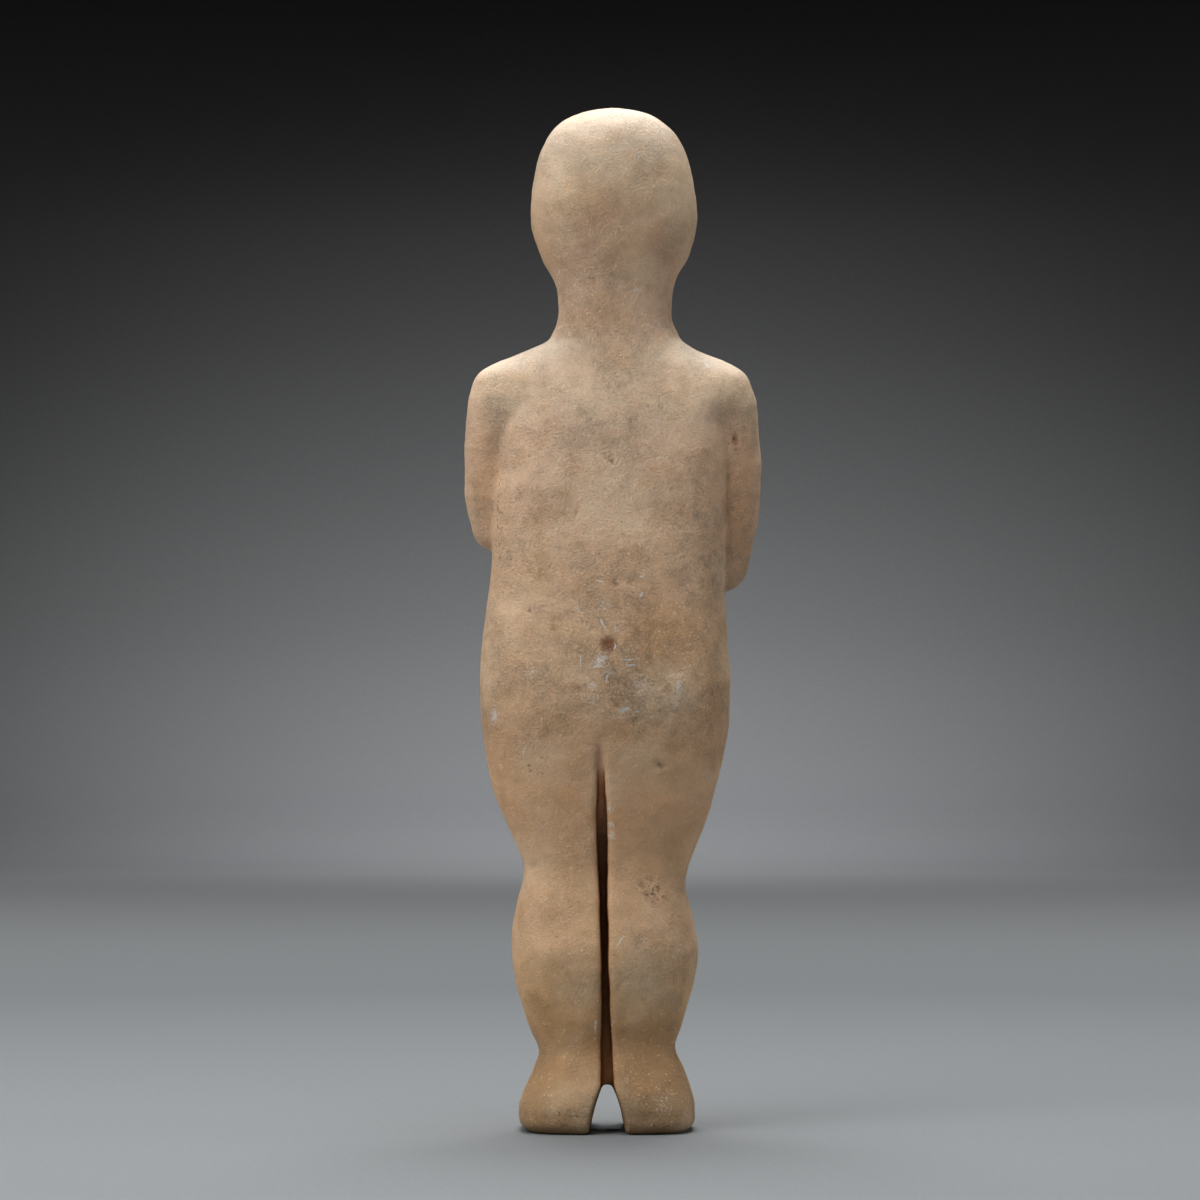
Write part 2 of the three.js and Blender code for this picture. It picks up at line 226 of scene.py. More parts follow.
@dataclass(frozen=True)
class Trunk:
    """Head, neck, trunk and the block of both legs, as rounded slices. Millimetres."""

    height: float = NOMINAL_HEIGHT
    crown_flat: float = 1.6
    crown_y: float = 3.2
    crown_rounding: float = 2.5
    sole_rounding: float = 0.8
    left_edge: tuple[tuple[float, float], ...] = (
        (0, 20.4), (1.2, 22.0), (5, 22.9), (10, 21.6), (15, 19.5), (19.5, 18.25), (24, 19.8),
        (29, 21.2), (34, 22.9), (40, 24.2), (45, 24.7), (56, 23.3), (64, 21.9), (71, 24.2),
        (83, 29.1), (96, 31.5), (108, 32.2), (120, 31.7), (133, 30.2), (152, 29.2), (168, 28.0),
        (180, 28.4),
    )
    right_edge: tuple[tuple[float, float], ...] = (
        (0, -18.0), (1.2, -19.2), (5, -19.9), (10, -19.1), (15, -17.3), (20.5, -15.1), (25, -16.6),
        (35, -19.5), (45, -20.8), (50, -20.1), (55, -18.9), (60, -17.95), (64, -18.5), (71, -20.9),
        (83, -24.9), (96, -27.6), (108, -28.6), (120, -28.0), (133, -27.1), (152, -27.8),
        (168, -28.4), (180, -29.2),
    )
    shoulders_up: tuple[tuple[float, float, float], ...] = (
        (185.5, 29.2, -29.2), (187.5, 26.8, -26.9), (190, 21.7, -21.4), (192.5, 16.4, -17.2),
        (195.5, 14.2, -15.2), (203, 13.3, -14.1), (208, 14.2, -15.3), (214, 17.5, -18.5),
        (220, 19.7, -20.2), (226, 20.0, -20.2), (233, 18.95, -19.3), (240, 16.9, -17.0),
        (244.4, 14.1, -14.1), (247.3, 10.4, -10.2),
    )
    side_view: tuple[tuple[float, float, float], ...] = (
        (0, -20.4, 14.4), (1.2, -21.5, 15.8), (4.5, -22.0, 16.6), (9, -20.6, 16.5), (14, -16.6, 14.4),
        (20, -12.6, 11.9), (28, -12.2, 13.4), (45, -12.8, 17.2), (56, -13.6, 15.2), (63, -14.6, 13.8),
        (72, -15.4, 15.2), (84, -16.8, 18.2), (97, -17.8, 21.2), (105, -18.2, 22.0), (116, -18.4, 20.8),
        (130, -17.4, 18.2), (148, -16.2, 16.8), (166, -15.8, 16.8), (178, -14.4, 15.6),
        (186, -11.8, 12.8), (191, -9.6, 10.6), (196, -8.8, 9.4), (202, -9.4, 8.8), (206, -12.4, 9.2),
        (210, -15.2, 10.4), (218, -16.2, 13.0), (227, -15.2, 15.2), (236, -12.2, 15.8),
        (242, -9.2, 14.6), (246.5, -5.4, 11.8), (249, -1.4, 8.2),
    )
    squareness: tuple[tuple[float, float], ...] = (
        (0, 3.6), (10, 3.2), (22, 2.7), (60, 2.6), (105, 2.6), (150, 2.8), (182, 2.5), (200, 2.2),
        (215, 2.3), (NOMINAL_HEIGHT, 2.2),
    )

    @cached_property
    def across(self) -> Extent:
        """The slices from side to side."""
        left = tuple((z, x) for z, x, _ in self.shoulders_up) + ((self.height, self.crown_flat),)
        right = tuple((z, x) for z, _, x in self.shoulders_up) + ((self.height, -self.crown_flat),)
        return Extent(low=self.right_edge + right, high=self.left_edge + left)

    @cached_property
    def depth(self) -> Extent:
        """The slices from front to back."""
        front = tuple((z, y) for z, y, _ in self.side_view)
        back = tuple((z, y) for z, _, y in self.side_view)
        return Extent(
            low=front + ((self.height, self.crown_y - self.crown_flat),),
            high=back + ((self.height, self.crown_y + self.crown_flat),),
        )

    def distance(self, points: Array) -> Array:
        """Measure how far points lie outside the slice at their height.

        A slice is a superellipse, |x/a|^n + |y/b|^n = 1. With s the n-th root of the left side, a
        point at radius r from the slice's centre lies r (1 - 1/s) outside it.

        Args:
            points: Places, in millimetres.

        Returns:
            Distance for each point, below zero inside the marble.
        """
        x, y, z = points.T
        dx, dy = x - self.across.centre.at(z), y - self.depth.centre.at(z)
        half_depth = self.depth.half(z)
        power = KnotCurve(self.squareness).at(z)
        share = (np.abs(dx / self.across.half(z)) ** power + np.abs(dy / half_depth) ** power) ** (1 / power)
        outside = np.hypot(dx, dy) * (1 - 1 / np.maximum(share, 1e-4))
        slices = np.where(share < 1e-3, -half_depth, outside)
        capped = cut(slices, self.height - z, self.crown_rounding)
        return cut(capped, z, self.sole_rounding)


@dataclass(frozen=True)
class Rod:
    """A chain of tapered rods with round ends: (x, y, z, radius) at each joint, in millimetres."""

    joints: tuple[tuple[float, float, float, float], ...]

    def distance(self, points: Array) -> Array:
        """Measure to the nearest rod: the distance to its axis less the radius where it is met."""
        nearest = np.full(len(points), np.inf)
        knots = np.array(self.joints)
        for start, end in zip(knots, knots[1:] if len(knots) > 1 else knots):
            axis = end[:3] - start[:3]
            along = (points - start[:3]) @ axis / max(axis @ axis, 1e-9)
            t = np.clip(along, 0, 1)
            away = np.linalg.norm(points - start[:3] - t[:, None] * axis, axis=1)
            nearest = np.minimum(nearest, away - start[3] - t * (end[3] - start[3]))
        return nearest


@dataclass(frozen=True)
class Swellings:
    """What swells from the trunk: folded arms, breasts and the ridge of the nose. Millimetres."""

    left_arm: Rod = Rod((
        (26.3, 0.4, 176.7, 9.0), (28.9, -0.8, 167, 7.5), (29.2, -2.2, 156, 7.2), (27.9, -4.4, 148.2, 7.1),
        (25.2, -9.0, 148.9, 6.5), (17.0, -12.7, 150.2, 5.8), (4.0, -14.8, 150.6, 5.4),
        (-8.0, -14.6, 151.0, 5.3), (-14.5, -13.2, 151.2, 5.1),
    ))
    right_arm: Rod = Rod((
        (-26.7, 0.4, 175.9, 8.8), (-29.0, -0.8, 163, 7.3), (-28.7, -2.2, 150, 6.85), (-26.2, -4.4, 138.4, 6.9),
        (-23.6, -9.0, 138.0, 6.3), (-16.0, -13.0, 138.4, 5.7), (-4.0, -15.2, 138.8, 5.4),
        (9.0, -15.0, 139.0, 5.3), (15.5, -13.8, 139.2, 5.1),
    ))
    left_breast: Rod = Rod(((10.2, -11.4, 165.5, 6.0),))
    right_breast: Rod = Rod(((-10.4, -11.4, 165.5, 6.0),))
    nose: Rod = Rod(((-0.3, -12.8, 230, 2.0), (-0.3, -16.2, 218.5, 3.0)))
    groove_fillet: float = 1.0
    shoulder_fillet: float = 9.0
    shoulder_from: float = 171.0
    shoulder_to: float = 184.0
    breast_fillet: float = 4.0
    nose_fillet: float = 1.8

    def added_to(self, trunk: Array, points: Array) -> Array:
        """Join the swellings to the trunk.

        The groove between an arm and the trunk is crisp, and its fillet grows with height until it
        has melted away at the shoulder.

        Args:
            trunk: The trunk's distance at each point.
            points: Places, in millimetres.

        Returns:
            The distance of the whole.
        """
        breasts = np.minimum(self.left_breast.distance(points), self.right_breast.distance(points))
        arms = np.minimum(self.left_arm.distance(points), self.right_arm.distance(points))
        rise = smoothstep(self.shoulder_from, self.shoulder_to, points[:, 2])
        arm_fillet = self.groove_fillet + (self.shoulder_fillet - self.groove_fillet) * rise
        whole = join(trunk, breasts, self.breast_fillet)
        whole = join(whole, arms, arm_fillet)
        return join(whole, self.nose.distance(points), self.nose_fillet)


@dataclass(frozen=True)
class Cleft:
    """The cut that parts the legs from front and back, and the arch between the feet. Millimetres."""

    top: float = 98.0
    half_widths: KnotCurve = KnotCurve((
        (0, 1.4), (14, 1.4), (24, 1.3), (32, 1.1), (40, 0.97), (52, 1.0), (60, 1.15), (66, 1.35), (72, 1.42),
        (78, 1.35), (84, 1.05), (90, 0.75), (95, 0.4), (98, 0.2),
    ))
    top_x: float = 3.1
    foot_x: float = 1.3
    arch_top: float = 11.8
    arch_half_widths: KnotCurve = KnotCurve(
        ((-1, 4.4), (0, 4.3), (3, 3.8), (6, 3.1), (9, 2.2), (11, 1.5), (13, 1.2))
    )
    arch_throat: float = 12.0
    arch_flare: float = 0.08
    web_back: KnotCurve = KnotCurve((
        (0, 6), (20, 6.5), (30, 3.2), (62, 2.4), (68, 4.6), (74, 8.2), (78, 11.4), (82, 14.2), (86, 16.4),
        (90, 18.3), (94, 20.0), (98, 22.4),
    ))
    web_front: KnotCurve = KnotCurve((
        (0, -6), (20, -6.5), (30, -3.2), (62, -4), (80, -9), (88, -14), (94, -17), (98, -19.4),
    ))
    floor_rounding: float = 1.2
    rim_rounding: float = 1.6

    def middle(self, z: Array) -> Array:
        """The cleft leans: its middle moves evenly from the arch to its top."""
        return self.foot_x + (self.top_x - self.foot_x) * np.maximum(0, z - self.arch_top) / (self.top - self.arch_top)

    def cut_from(self, marble: Array, points: Array) -> Array:
        """Cut the slots and the arch.

        Each slot is a gap between two walls, |x - middle| less its half width, closed by a floor
        at the web. The arch is the same gap at the feet, widened by its own curve and by a flare
        towards the open air, and closed by its roof.

        Args:
            marble: The uncut figure's distance at each point.
            points: Places, in millimetres.

        Returns:
            The distance of the carved figure.
        """
        x, y, z = points.T
        aside = np.abs(x - self.middle(z))
        walls = aside - self.half_widths.at(z)
        slot = join(
            -join(-walls, y - self.web_back.at(z), self.floor_rounding),
            -join(-walls, self.web_front.at(z) - y, self.floor_rounding),
            0.1,
        )
        flare = np.maximum(0, np.abs(y) - self.arch_throat) * self.arch_flare
        arch = -join(-(aside - self.arch_half_widths.at(z) - flare), self.arch_top - z, self.floor_rounding)
        return cut(marble, join(slot, arch, 0.6), self.rim_rounding)


@dataclass(frozen=True)
class CarvedForm:
    """The whole carved figure as one distance form."""

    trunk: Trunk = Trunk()
    swellings: Swellings = Swellings()
    cleft: Cleft = Cleft()
    arms_from: float = 120.0
    cleft_to: float = 97.0

    def distance(self, points: Array) -> Array:
        """Distance from the carved surface, below zero in marble, each part read only near it."""
        whole = self.trunk.distance(points)
        high, low = points[:, 2] > self.arms_from, points[:, 2] < self.cleft_to
        whole[high] = self.swellings.added_to(whole[high], points[high])
        whole[low] = self.cleft.cut_from(whole[low], points[low])
        return whole

    def slope(self, points: Array, reach: float = 0.05) -> Array:
        """The form's gradient at each point, from the difference between two near points."""
        steps = np.eye(3) * reach
        ahead = np.stack([self.distance(points + step) for step in steps], axis=1)
        behind = np.stack([self.distance(points - step) for step in steps], axis=1)
        return (ahead - behind) / (2 * reach)


# ---- The skin -----------------------------------------------------------------------------------


@dataclass
class Skin:
    """The figure's surface: points in millimetres, four-sided faces, and the outward normals."""

    points: Array
    faces: Array
    normals: Array = field(default_factory=lambda: np.zeros((0, 3)))

    def relaxed(self, weight: float) -> Array:
        """Move every point by a share of the way to the mean of its neighbours."""
        around = np.concatenate((self.faces, self.faces)).ravel()
        beside = np.concatenate((np.roll(self.faces, 1, axis=1), np.roll(self.faces, -1, axis=1))).ravel()
        count = np.bincount(around, minlength=len(self.points))[:, None]
        total = np.stack(
            [np.bincount(around, self.points[beside, axis], len(self.points)) for axis in range(3)],
            axis=1,
        )
        return self.points + weight * (total / count - self.points)


@dataclass(frozen=True)
class Lattice:
    """A cubic lattice that finds where a form is zero."""

    low: tuple[float, float, float]
    high: tuple[float, float, float]
    step: float
    slab: int = 48

    def readings(self, form: Field) -> Array:
        """Read the form at every lattice point, a slab of levels at a time."""
        counts = [math.ceil((h - l) / self.step) + 1 for l, h in zip(self.low, self.high)]
        x, y, z = (l + self.step * np.arange(n) for l, n in zip(self.low, counts))
        slabs = []
        for first in range(0, len(z), self.slab):
            levels = z[first:first + self.slab]
            block = np.stack(np.meshgrid(x, y, levels, indexing="ij"), axis=-1)
            slabs.append(form(block.reshape(-1, 3)).reshape(block.shape[:3]))
        return np.concatenate(slabs, axis=2)

    def skin(self, form: Field) -> Skin:
        """Net the zero level.

        Every lattice edge whose two ends lie on different sides is crossed once, and is ringed by
        four cells. A cell that is touched by crossings holds one point, the mean of them, and each
        crossed edge gives one four-sided face between its four cells.

        Args:
            form: The distance form.

        Returns:
            The closed skin, faces turned outward.
        """
        values = self.readings(form)
        shape = np.array(values.shape)
        corners, crossings = [], []
        for axis in range(3):
            here = np.moveaxis(values, axis, 0)
            crossed = np.moveaxis((here[:-1] < 0) != (here[1:] < 0), 0, axis)
            near = np.argwhere(crossed)
            ahead = np.eye(3, dtype=int)[axis]
            first, second = values[tuple(near.T)], values[tuple((near + ahead).T)]
            place = near + (first / (first - second))[:, None] * ahead
            u, v = np.eye(3, dtype=int)[(axis + 1) % 3], np.eye(3, dtype=int)[(axis + 2) % 3]
            ring = np.stack([near - u - v, near - v, near, near - u], axis=1)
            ring[first >= 0] = ring[first >= 0, ::-1]
            corners.append(np.ravel_multi_index(tuple(np.moveaxis(ring, 2, 0)), tuple(shape)))
            crossings.append(place)
        cells, faces = np.unique(np.concatenate(corners), return_inverse=True)
        faces = faces.reshape(-1, 4)
        places = np.repeat(np.concatenate(crossings), 4, axis=0)
        count = np.bincount(faces.ravel(), minlength=len(cells))
        means = np.stack([np.bincount(faces.ravel(), places[:, axis]) / count for axis in range(3)], axis=1)
        return Skin(points=np.array(self.low) + means * self.step, faces=faces)


@dataclass(frozen=True)
class Dent:
    """A hollow or chip at one place on the figure's back or front. Millimetres."""

    x: float
    z: float
    radius: float
    depth: float
    tall: float = 1.0
    front: bool = False

    def hollow(self, points: Array, normals: Array) -> Array:
        """Depth at each point: a bell, depth * exp(-(distance / radius)^2), on the side it faces."""
        away = np.hypot(points[:, 0] - self.x, (points[:, 2] - self.z) / self.tall) / self.radius
        facing = -normals[:, 1] if self.front else normals[:, 1]
        return self.depth * np.exp(-away * away) * smoothstep(0.0, 0.3, facing)


@dataclass(frozen=True)
class CutLine:
    """A shallow line cut into the front of the figure, through (x, z) places. Millimetres."""

    places: tuple[tuple[float, float], ...]
    half_width: float = 0.75
    depth: float = 0.5

    def groove(self, points: Array, normals: Array) -> Array:
        """Depth at each point: a bell across the distance to the nearest stretch of the line."""
        flat = points[:, [0, 2]]
        nearest = np.full(len(points), np.inf)
        knots = np.array(self.places)
        for start, end in zip(knots, knots[1:]):
            axis = end - start
            t = np.clip((flat - start) @ axis / (axis @ axis), 0, 1)
            nearest = np.minimum(nearest, np.linalg.norm(flat - start - t[:, None] * axis, axis=1))
        bell = np.exp(-((nearest / self.half_width) ** 2))
        return self.depth * bell * smoothstep(0.1, 0.5, -normals[:, 1])


class Stain(Enum):
    """What marks the marble; each value is the name of the mask that the finish reads."""

    BRUISE = "bruised"  # white stone laid bare and still clean
    RUST = "rusted"  # iron from the soil
    DUSK = "dusky"  # a thin grey-brown film
    WARM = "warmed"  # stone tanned deeper than the rest
    PALE = "paled"  # stone washed lighter than the rest
    SPECK = "specked"  # pores full of dark soil
    CHIP = "chipped"  # grains broken out, their faces pale


@dataclass(frozen=True)
class Patch:
    """A soft-edged stain on the back, an ellipse seen from behind. Millimetres and degrees."""

    stain: Stain
    x: float
    z: float
    wide: float
    tall: float
    amount: float = 1.0
    turn: float = 0.0

    def mask(self, points: Array, normals: Array) -> Array:
        """Amount at each point: a bell, exp(-(distance / size)^2), on the side that faces back."""
        across, up = points[:, 0] - self.x, points[:, 2] - self.z
        angle = math.radians(self.turn)
        along = across * math.cos(angle) + up * math.sin(angle)
        aside = up * math.cos(angle) - across * math.sin(angle)
        bell = np.exp(-((along / self.wide) ** 2) - (aside / self.tall) ** 2)
        return self.amount * bell * smoothstep(-0.3, 0.1, normals[:, 1])


@dataclass
class Figurine:
    """The marble figurine: its carved skin, its wear and its finish."""

    form: CarvedForm = field(default_factory=CarvedForm)
    lattice_step: float = 0.735
    margin: float = 2.0
    settle_rounds: int = 4
    settle_weight: float = 0.5
    # Wear: (noise size, how far it moves the surface), then pits, all in millimetres.
    swells: tuple[tuple[float, float], ...] = ((16.0, 0.28), (7.0, 0.16), (3.2, 0.09), (1.7, 0.05))
    pit_size: float = 4.2
    pit_radius: float = 1.1
    pit_share: float = 0.12
    pit_depth: float = 0.25
    # How rough the skin is at each height: smooth thighs and crown, rough hips and back.
    roughness: KnotCurve = KnotCurve((
        (0, 0.5), (40, 0.65), (62, 0.5), (88, 0.45), (102, 0.9), (113, 1.1), (130, 1.0), (150, 0.9),
        (195, 0.85), (228, 0.7), (250, 0.5),
    ))
    dents: tuple[Dent, ...] = (
        Dent(1.1, 118.9, 2.0, 0.6), Dent(-0.5, 133.6, 0.9, 0.45), Dent(-29.7, 168.8, 0.8, 0.4, tall=2.0),
        Dent(-7.0, 60.5, 0.9, 0.4), Dent(-9.2, 61.6, 0.8, 0.35), Dent(-8.0, 58.2, 0.8, 0.35),
        Dent(-11.2, 59.4, 0.8, 0.35), Dent(-13.0, 57.2, 0.8, 0.3), Dent(-10.0, 56.4, 0.8, 0.3),
        Dent(-0.8, 104.4, 0.8, 0.4), Dent(-5.2, 100.3, 0.8, 0.35), Dent(-11.5, 89.6, 1.0, 0.4),
        Dent(14.5, 122.7, 0.8, 0.35), Dent(4.5, 207.5, 1.0, 0.3), Dent(0.5, 163.6, 0.9, 0.35),
        Dent(9.0, 150.8, 0.9, 0.3), Dent(-4.2, 134.5, 1.8, 0.3),
    )
    patches: tuple[Patch, ...] = (
        Patch(Stain.BRUISE, 3.0, 115.3, 2.3, 1.5, turn=-40), Patch(Stain.BRUISE, 5.2, 109.2, 1.1, 0.8),
        Patch(Stain.BRUISE, -6.6, 109.0, 2.4, 2.4, 0.6), Patch(Stain.BRUISE, -15.7, 108.4, 1.1, 3.0, 0.9),
        Patch(Stain.BRUISE, 2.0, 127.8, 2.6, 2.0, 0.5), Patch(Stain.BRUISE, -1.0, 123.1, 1.1, 1.3, 0.6),
        Patch(Stain.BRUISE, 1.2, 112.4, 2.6, 1.0, 0.6, turn=-30), Patch(Stain.BRUISE, 28.7, 101.5, 0.9, 1.8),
        Patch(Stain.BRUISE, 19.5, 112.3, 2.2, 0.9, 0.5), Patch(Stain.BRUISE, 5.0, 105.5, 2.0, 1.4, 0.45),
        Patch(Stain.BRUISE, -1.0, 101.6, 3.6, 1.0, 0.45), Patch(Stain.BRUISE, 4.0, 101.6, 0.7, 0.9, 0.6),
        Patch(Stain.BRUISE, -4.5, 117.2, 1.8, 1.1, 0.4), Patch(Stain.BRUISE, -15.0, 104.4, 0.9, 0.7, 0.9),
        Patch(Stain.BRUISE, 0.6, 79.4, 0.9, 1.3, 0.8), Patch(Stain.BRUISE, 0.4, 75.2, 0.9, 0.8),
        Patch(Stain.BRUISE, 0.2, 72.6, 0.9, 0.9), Patch(Stain.BRUISE, -22.9, 186.9, 1.4, 1.0, 0.7),
        Patch(Stain.BRUISE, -16.0, 45.0, 1.6, 2.6, 0.45), Patch(Stain.BRUISE, -12.0, 8.0, 2.0, 2.4, 0.4),
        Patch(Stain.BRUISE, -3.5, 13.5, 0.7, 0.9, 0.6), Patch(Stain.BRUISE, 26.8, 174.0, 1.0, 3.0, 0.4),
        Patch(Stain.RUST, 1.1, 118.9, 2.0, 1.9), Patch(Stain.RUST, 8.4, 108.6, 3.2, 1.3, 0.5),
        Patch(Stain.RUST, -13.0, 108.2, 1.6, 1.6, 0.5), Patch(Stain.RUST, -3.0, 109.8, 1.8, 2.4, 0.4, turn=-30),
        Patch(Stain.RUST, 6.5, 131.0, 3.4, 1.2, 0.3), Patch(Stain.RUST, -29.7, 168.0, 1.0, 3.0, 0.6),
        Patch(Stain.RUST, -20.0, 56.0, 2.0, 3.0, 0.25), Patch(Stain.RUST, 16.0, 143.0, 4.0, 3.0, 0.2),
        Patch(Stain.DUSK, -12.0, 121.0, 13.0, 11.0, 0.9), Patch(Stain.DUSK, -24.0, 109.0, 4.0, 5.0, 0.6),
        Patch(Stain.DUSK, 13.0, 100.0, 8.0, 5.0, 0.5), Patch(Stain.DUSK, -4.0, 97.8, 7.0, 3.4, 0.6),
        Patch(Stain.DUSK, 2.0, 199.0, 9.0, 6.0, 0.5), Patch(Stain.DUSK, 22.0, 87.0, 5.0, 4.0, 0.3),
        Patch(Stain.DUSK, 0.0, 17.0, 30.0, 8.0, 0.6), Patch(Stain.DUSK, -4.0, 140.0, 5.0, 3.0, 0.4),
        Patch(Stain.DUSK, -22.0, 158.0, 7.0, 13.0, 0.3), Patch(Stain.DUSK, 6.0, 227.0, 8.0, 8.0, 0.4),
        Patch(Stain.DUSK, 16.0, 211.0, 3.0, 6.0, 0.4), Patch(Stain.DUSK, 0.0, 188.0, 7.0, 4.0, 0.4),
        Patch(Stain.DUSK, 4.0, 118.0, 6.0, 4.0, 0.4), Patch(Stain.DUSK, 16.0, 27.0, 4.0, 5.0, 0.5),
        Patch(Stain.WARM, 31.5, 158.0, 4.0, 20.0, 0.8), Patch(Stain.WARM, -31.5, 156.0, 4.5, 20.0, 0.9),
        Patch(Stain.WARM, 18.0, 218.0, 5.0, 9.0, 0.5), Patch(Stain.WARM, 0.0, 80.0, 30.0, 14.0, 0.35),
        Patch(Stain.WARM, -16.0, 216.0, 4.0, 7.0, 0.3),
        Patch(Stain.PALE, 3.0, 157.0, 17.0, 13.0, 0.5), Patch(Stain.PALE, 7.0, 36.0, 7.0, 6.0, 0.8),
        Patch(Stain.PALE, -7.0, 37.0, 8.0, 7.0, 1.0), Patch(Stain.PALE, -7.0, 210.0, 7.0, 5.0, 0.6),
        Patch(Stain.PALE, 26.0, 182.0, 7.0, 6.0, 0.5), Patch(Stain.PALE, -26.0, 182.0, 8.0, 5.0, 0.7),
        Patch(Stain.PALE, -16.0, 227.0, 6.0, 11.0, 1.2), Patch(Stain.PALE, 15.0, 145.0, 12.0, 12.0, 0.3),
        Patch(Stain.PALE, 3.0, 84.0, 6.0, 6.0, 0.6), Patch(Stain.PALE, -13.0, 106.0, 8.0, 4.0, 0.5),
        Patch(Stain.PALE, -12.0, 191.0, 4.0, 4.0, 0.6), Patch(Stain.PALE, 5.0, 73.0, 5.0, 5.0, 0.4),
        Patch(Stain.PALE, 28.0, 121.0, 6.0, 12.0, 0.4), Patch(Stain.PALE, -27.0, 138.0, 3.0, 6.0, 0.5),
        Patch(Stain.SPECK, -9.8, 59.0, 4.2, 3.0), Patch(Stain.SPECK, 27.5, 150.0, 1.8, 17.0, 0.8),
        Patch(Stain.SPECK, 12.0, 3.5, 8.0, 3.0, 0.7), Patch(Stain.SPECK, -12.0, 3.5, 8.0, 3.0, 0.5),
        Patch(Stain.SPECK, 17.0, 89.0, 4.0, 4.0, 0.5), Patch(Stain.SPECK, -12.0, 90.0, 3.0, 2.0, 0.6),
        Patch(Stain.SPECK, 7.0, 206.0, 6.0, 5.0, 0.4), Patch(Stain.SPECK, -29.7, 168.0, 1.6, 4.0, 0.8),
        Patch(Stain.CHIP, -3.0, 111.0, 15.0, 9.0), Patch(Stain.CHIP, -15.0, 108.0, 9.0, 8.0, 0.8),
        Patch(Stain.CHIP, -2.0, 128.0, 14.0, 9.0, 0.6), Patch(Stain.CHIP, 16.0, 111.0, 8.0, 4.0, 0.5),
        Patch(Stain.CHIP, 28.5, 102.0, 2.5, 6.0, 0.8), Patch(Stain.CHIP, -24.0, 92.0, 4.0, 10.0, 0.5),
        Patch(Stain.CHIP, 4.0, 172.0, 16.0, 12.0, 0.4), Patch(Stain.CHIP, -22.0, 140.0, 6.0, 20.0, 0.5),
        Patch(Stain.CHIP, -12.0, 44.0, 8.0, 8.0, 0.6), Patch(Stain.CHIP, 8.0, 206.0, 8.0, 8.0, 0.4),
        Patch(Stain.CHIP, -10.0, 9.0, 8.0, 6.0, 0.5), Patch(Stain.CHIP, -6.0, 188.0, 8.0, 5.0, 0.5),
    )
    lines: tuple[CutLine, ...] = (
        CutLine(((-11, 198.5), (-5, 196.2), (4, 196.2), (10.5, 198.5))),
        CutLine(((-21, 112), (-9, 101), (2.6, 93.5), (14, 101), (25, 112))),
        CutLine(((-21, 112), (2.6, 114.5), (25, 112)), half_width=0.6, depth=0.35),
        CutLine(((-8.5, 152.9), (-17.5, 153.2)), 0.6, 0.4),
        CutLine(((-8.5, 151.1), (-18.5, 151.2)), 0.6, 0.4),
        CutLine(((-8.5, 149.3), (-17.5, 149.2)), 0.6, 0.4),
        CutLine(((9.5, 140.9), (18.5, 141.2)), 0.6, 0.4),
        CutLine(((9.5, 139.1), (19.5, 139.2)), 0.6, 0.4),
        CutLine(((9.5, 137.3), (18.5, 137.2)), 0.6, 0.4),
        *(CutLine(((x, 0.5), (x + lean, 7.5)), 0.65, 0.45) for x, lean in (
            (8.0, 0.2), (11.2, 0.3), (14.4, 0.2), (17.4, -0.2), (-6.0, -0.2), (-8.9, -0.3), (-11.8, -0.2), (-14.6, 0.2),
        )),
    )

    def carve(self) -> Skin:
        """Net the form, then let the points spread evenly and sink back onto the form."""
        trunk, arms = self.form.trunk, self.form.swellings
        side = max(abs(x) + r for x, _, _, r in arms.left_arm.joints + arms.right_arm.joints)
        back = max(y for _, _, y in trunk.side_view)
        front = min(y for _, y, _ in trunk.side_view)
        lattice = Lattice(
            low=(-side - self.margin, front - self.margin, -self.margin),
            high=(side + self.margin, back + self.margin, trunk.height + self.margin),
            step=self.lattice_step,
        )
        skin = lattice.skin(self.form.distance)
        for _ in range(self.settle_rounds):
            skin.points = self.settled(skin.relaxed(self.settle_weight))
        slope = self.form.slope(skin.points)
        skin.normals = slope / np.linalg.norm(slope, axis=1, keepdims=True)
        return skin

    def settled(self, points: Array) -> Array:
        """Sink points onto the form: each moves by distance * slope / slope^2, at most half a step."""
        for _ in range(2):
            slope = self.form.slope(points)
            move = self.form.distance(points)[:, None] * slope / (slope * slope).sum(axis=1, keepdims=True)
            length = np.linalg.norm(move, axis=1, keepdims=True)
            points = points - move * np.minimum(1, 0.5 * self.lattice_step / np.maximum(length, 1e-9))
        return points

    def wear(self, skin: Skin) -> dict[str, Array]:
        """Wear the skin and say where it is hollow, worn, pitted, rough and stained, and where the finish paints a
        highlight.

        Args:
            skin: The carved skin, whose points are moved along their normals.

        Returns:
            Masks, most of them from 0 to 1, for the finish, by name.
        """
        points, normals = skin.points, skin.normals
        rough = self.roughness.at(points[:, 2])
        swell = sum(
            depth * lattice_noise(points, size, seed) for seed, (size, depth) in enumerate(self.swells, 11)
        )
        pits = scattered_pits(points, self.pit_size, self.pit_radius, self.pit_share, 31) * rough
        dents = sum(dent.hollow(points, normals) for dent in self.dents)
        cuts = np.max([line.groove(points, normals) for line in self.lines], axis=0)
        above_sole = smoothstep(0.3, 2.5, points[:, 2])
        move = (swell - self.pit_depth * pits - dents - cuts) * above_sole
        masks = {
            # how shut in each point is; the finish paints shade there as a darker brown
            "hollow": self.hollows(points, normals, 3.0),
            "worn": self.ridges(points, normals, 3.0),
            "pitted": np.clip(pits + dents / 0.5 + cuts / 0.5, 0, 1),
            "rough": rough,
            # painted highlight: the up-facing shoulder tops, painted paler where the top light falls
            "painted_highlight": smoothstep(0.25, 0.95, normals[:, 2]) * smoothstep(170, 184, points[:, 2]),
        }
        for stain in Stain:
            laid = [patch.mask(points, normals) for patch in self.patches if patch.stain is stain]
            masks[stain.value] = np.max(laid, axis=0)
        skin.points = points + move[:, None] * normals
        return masks

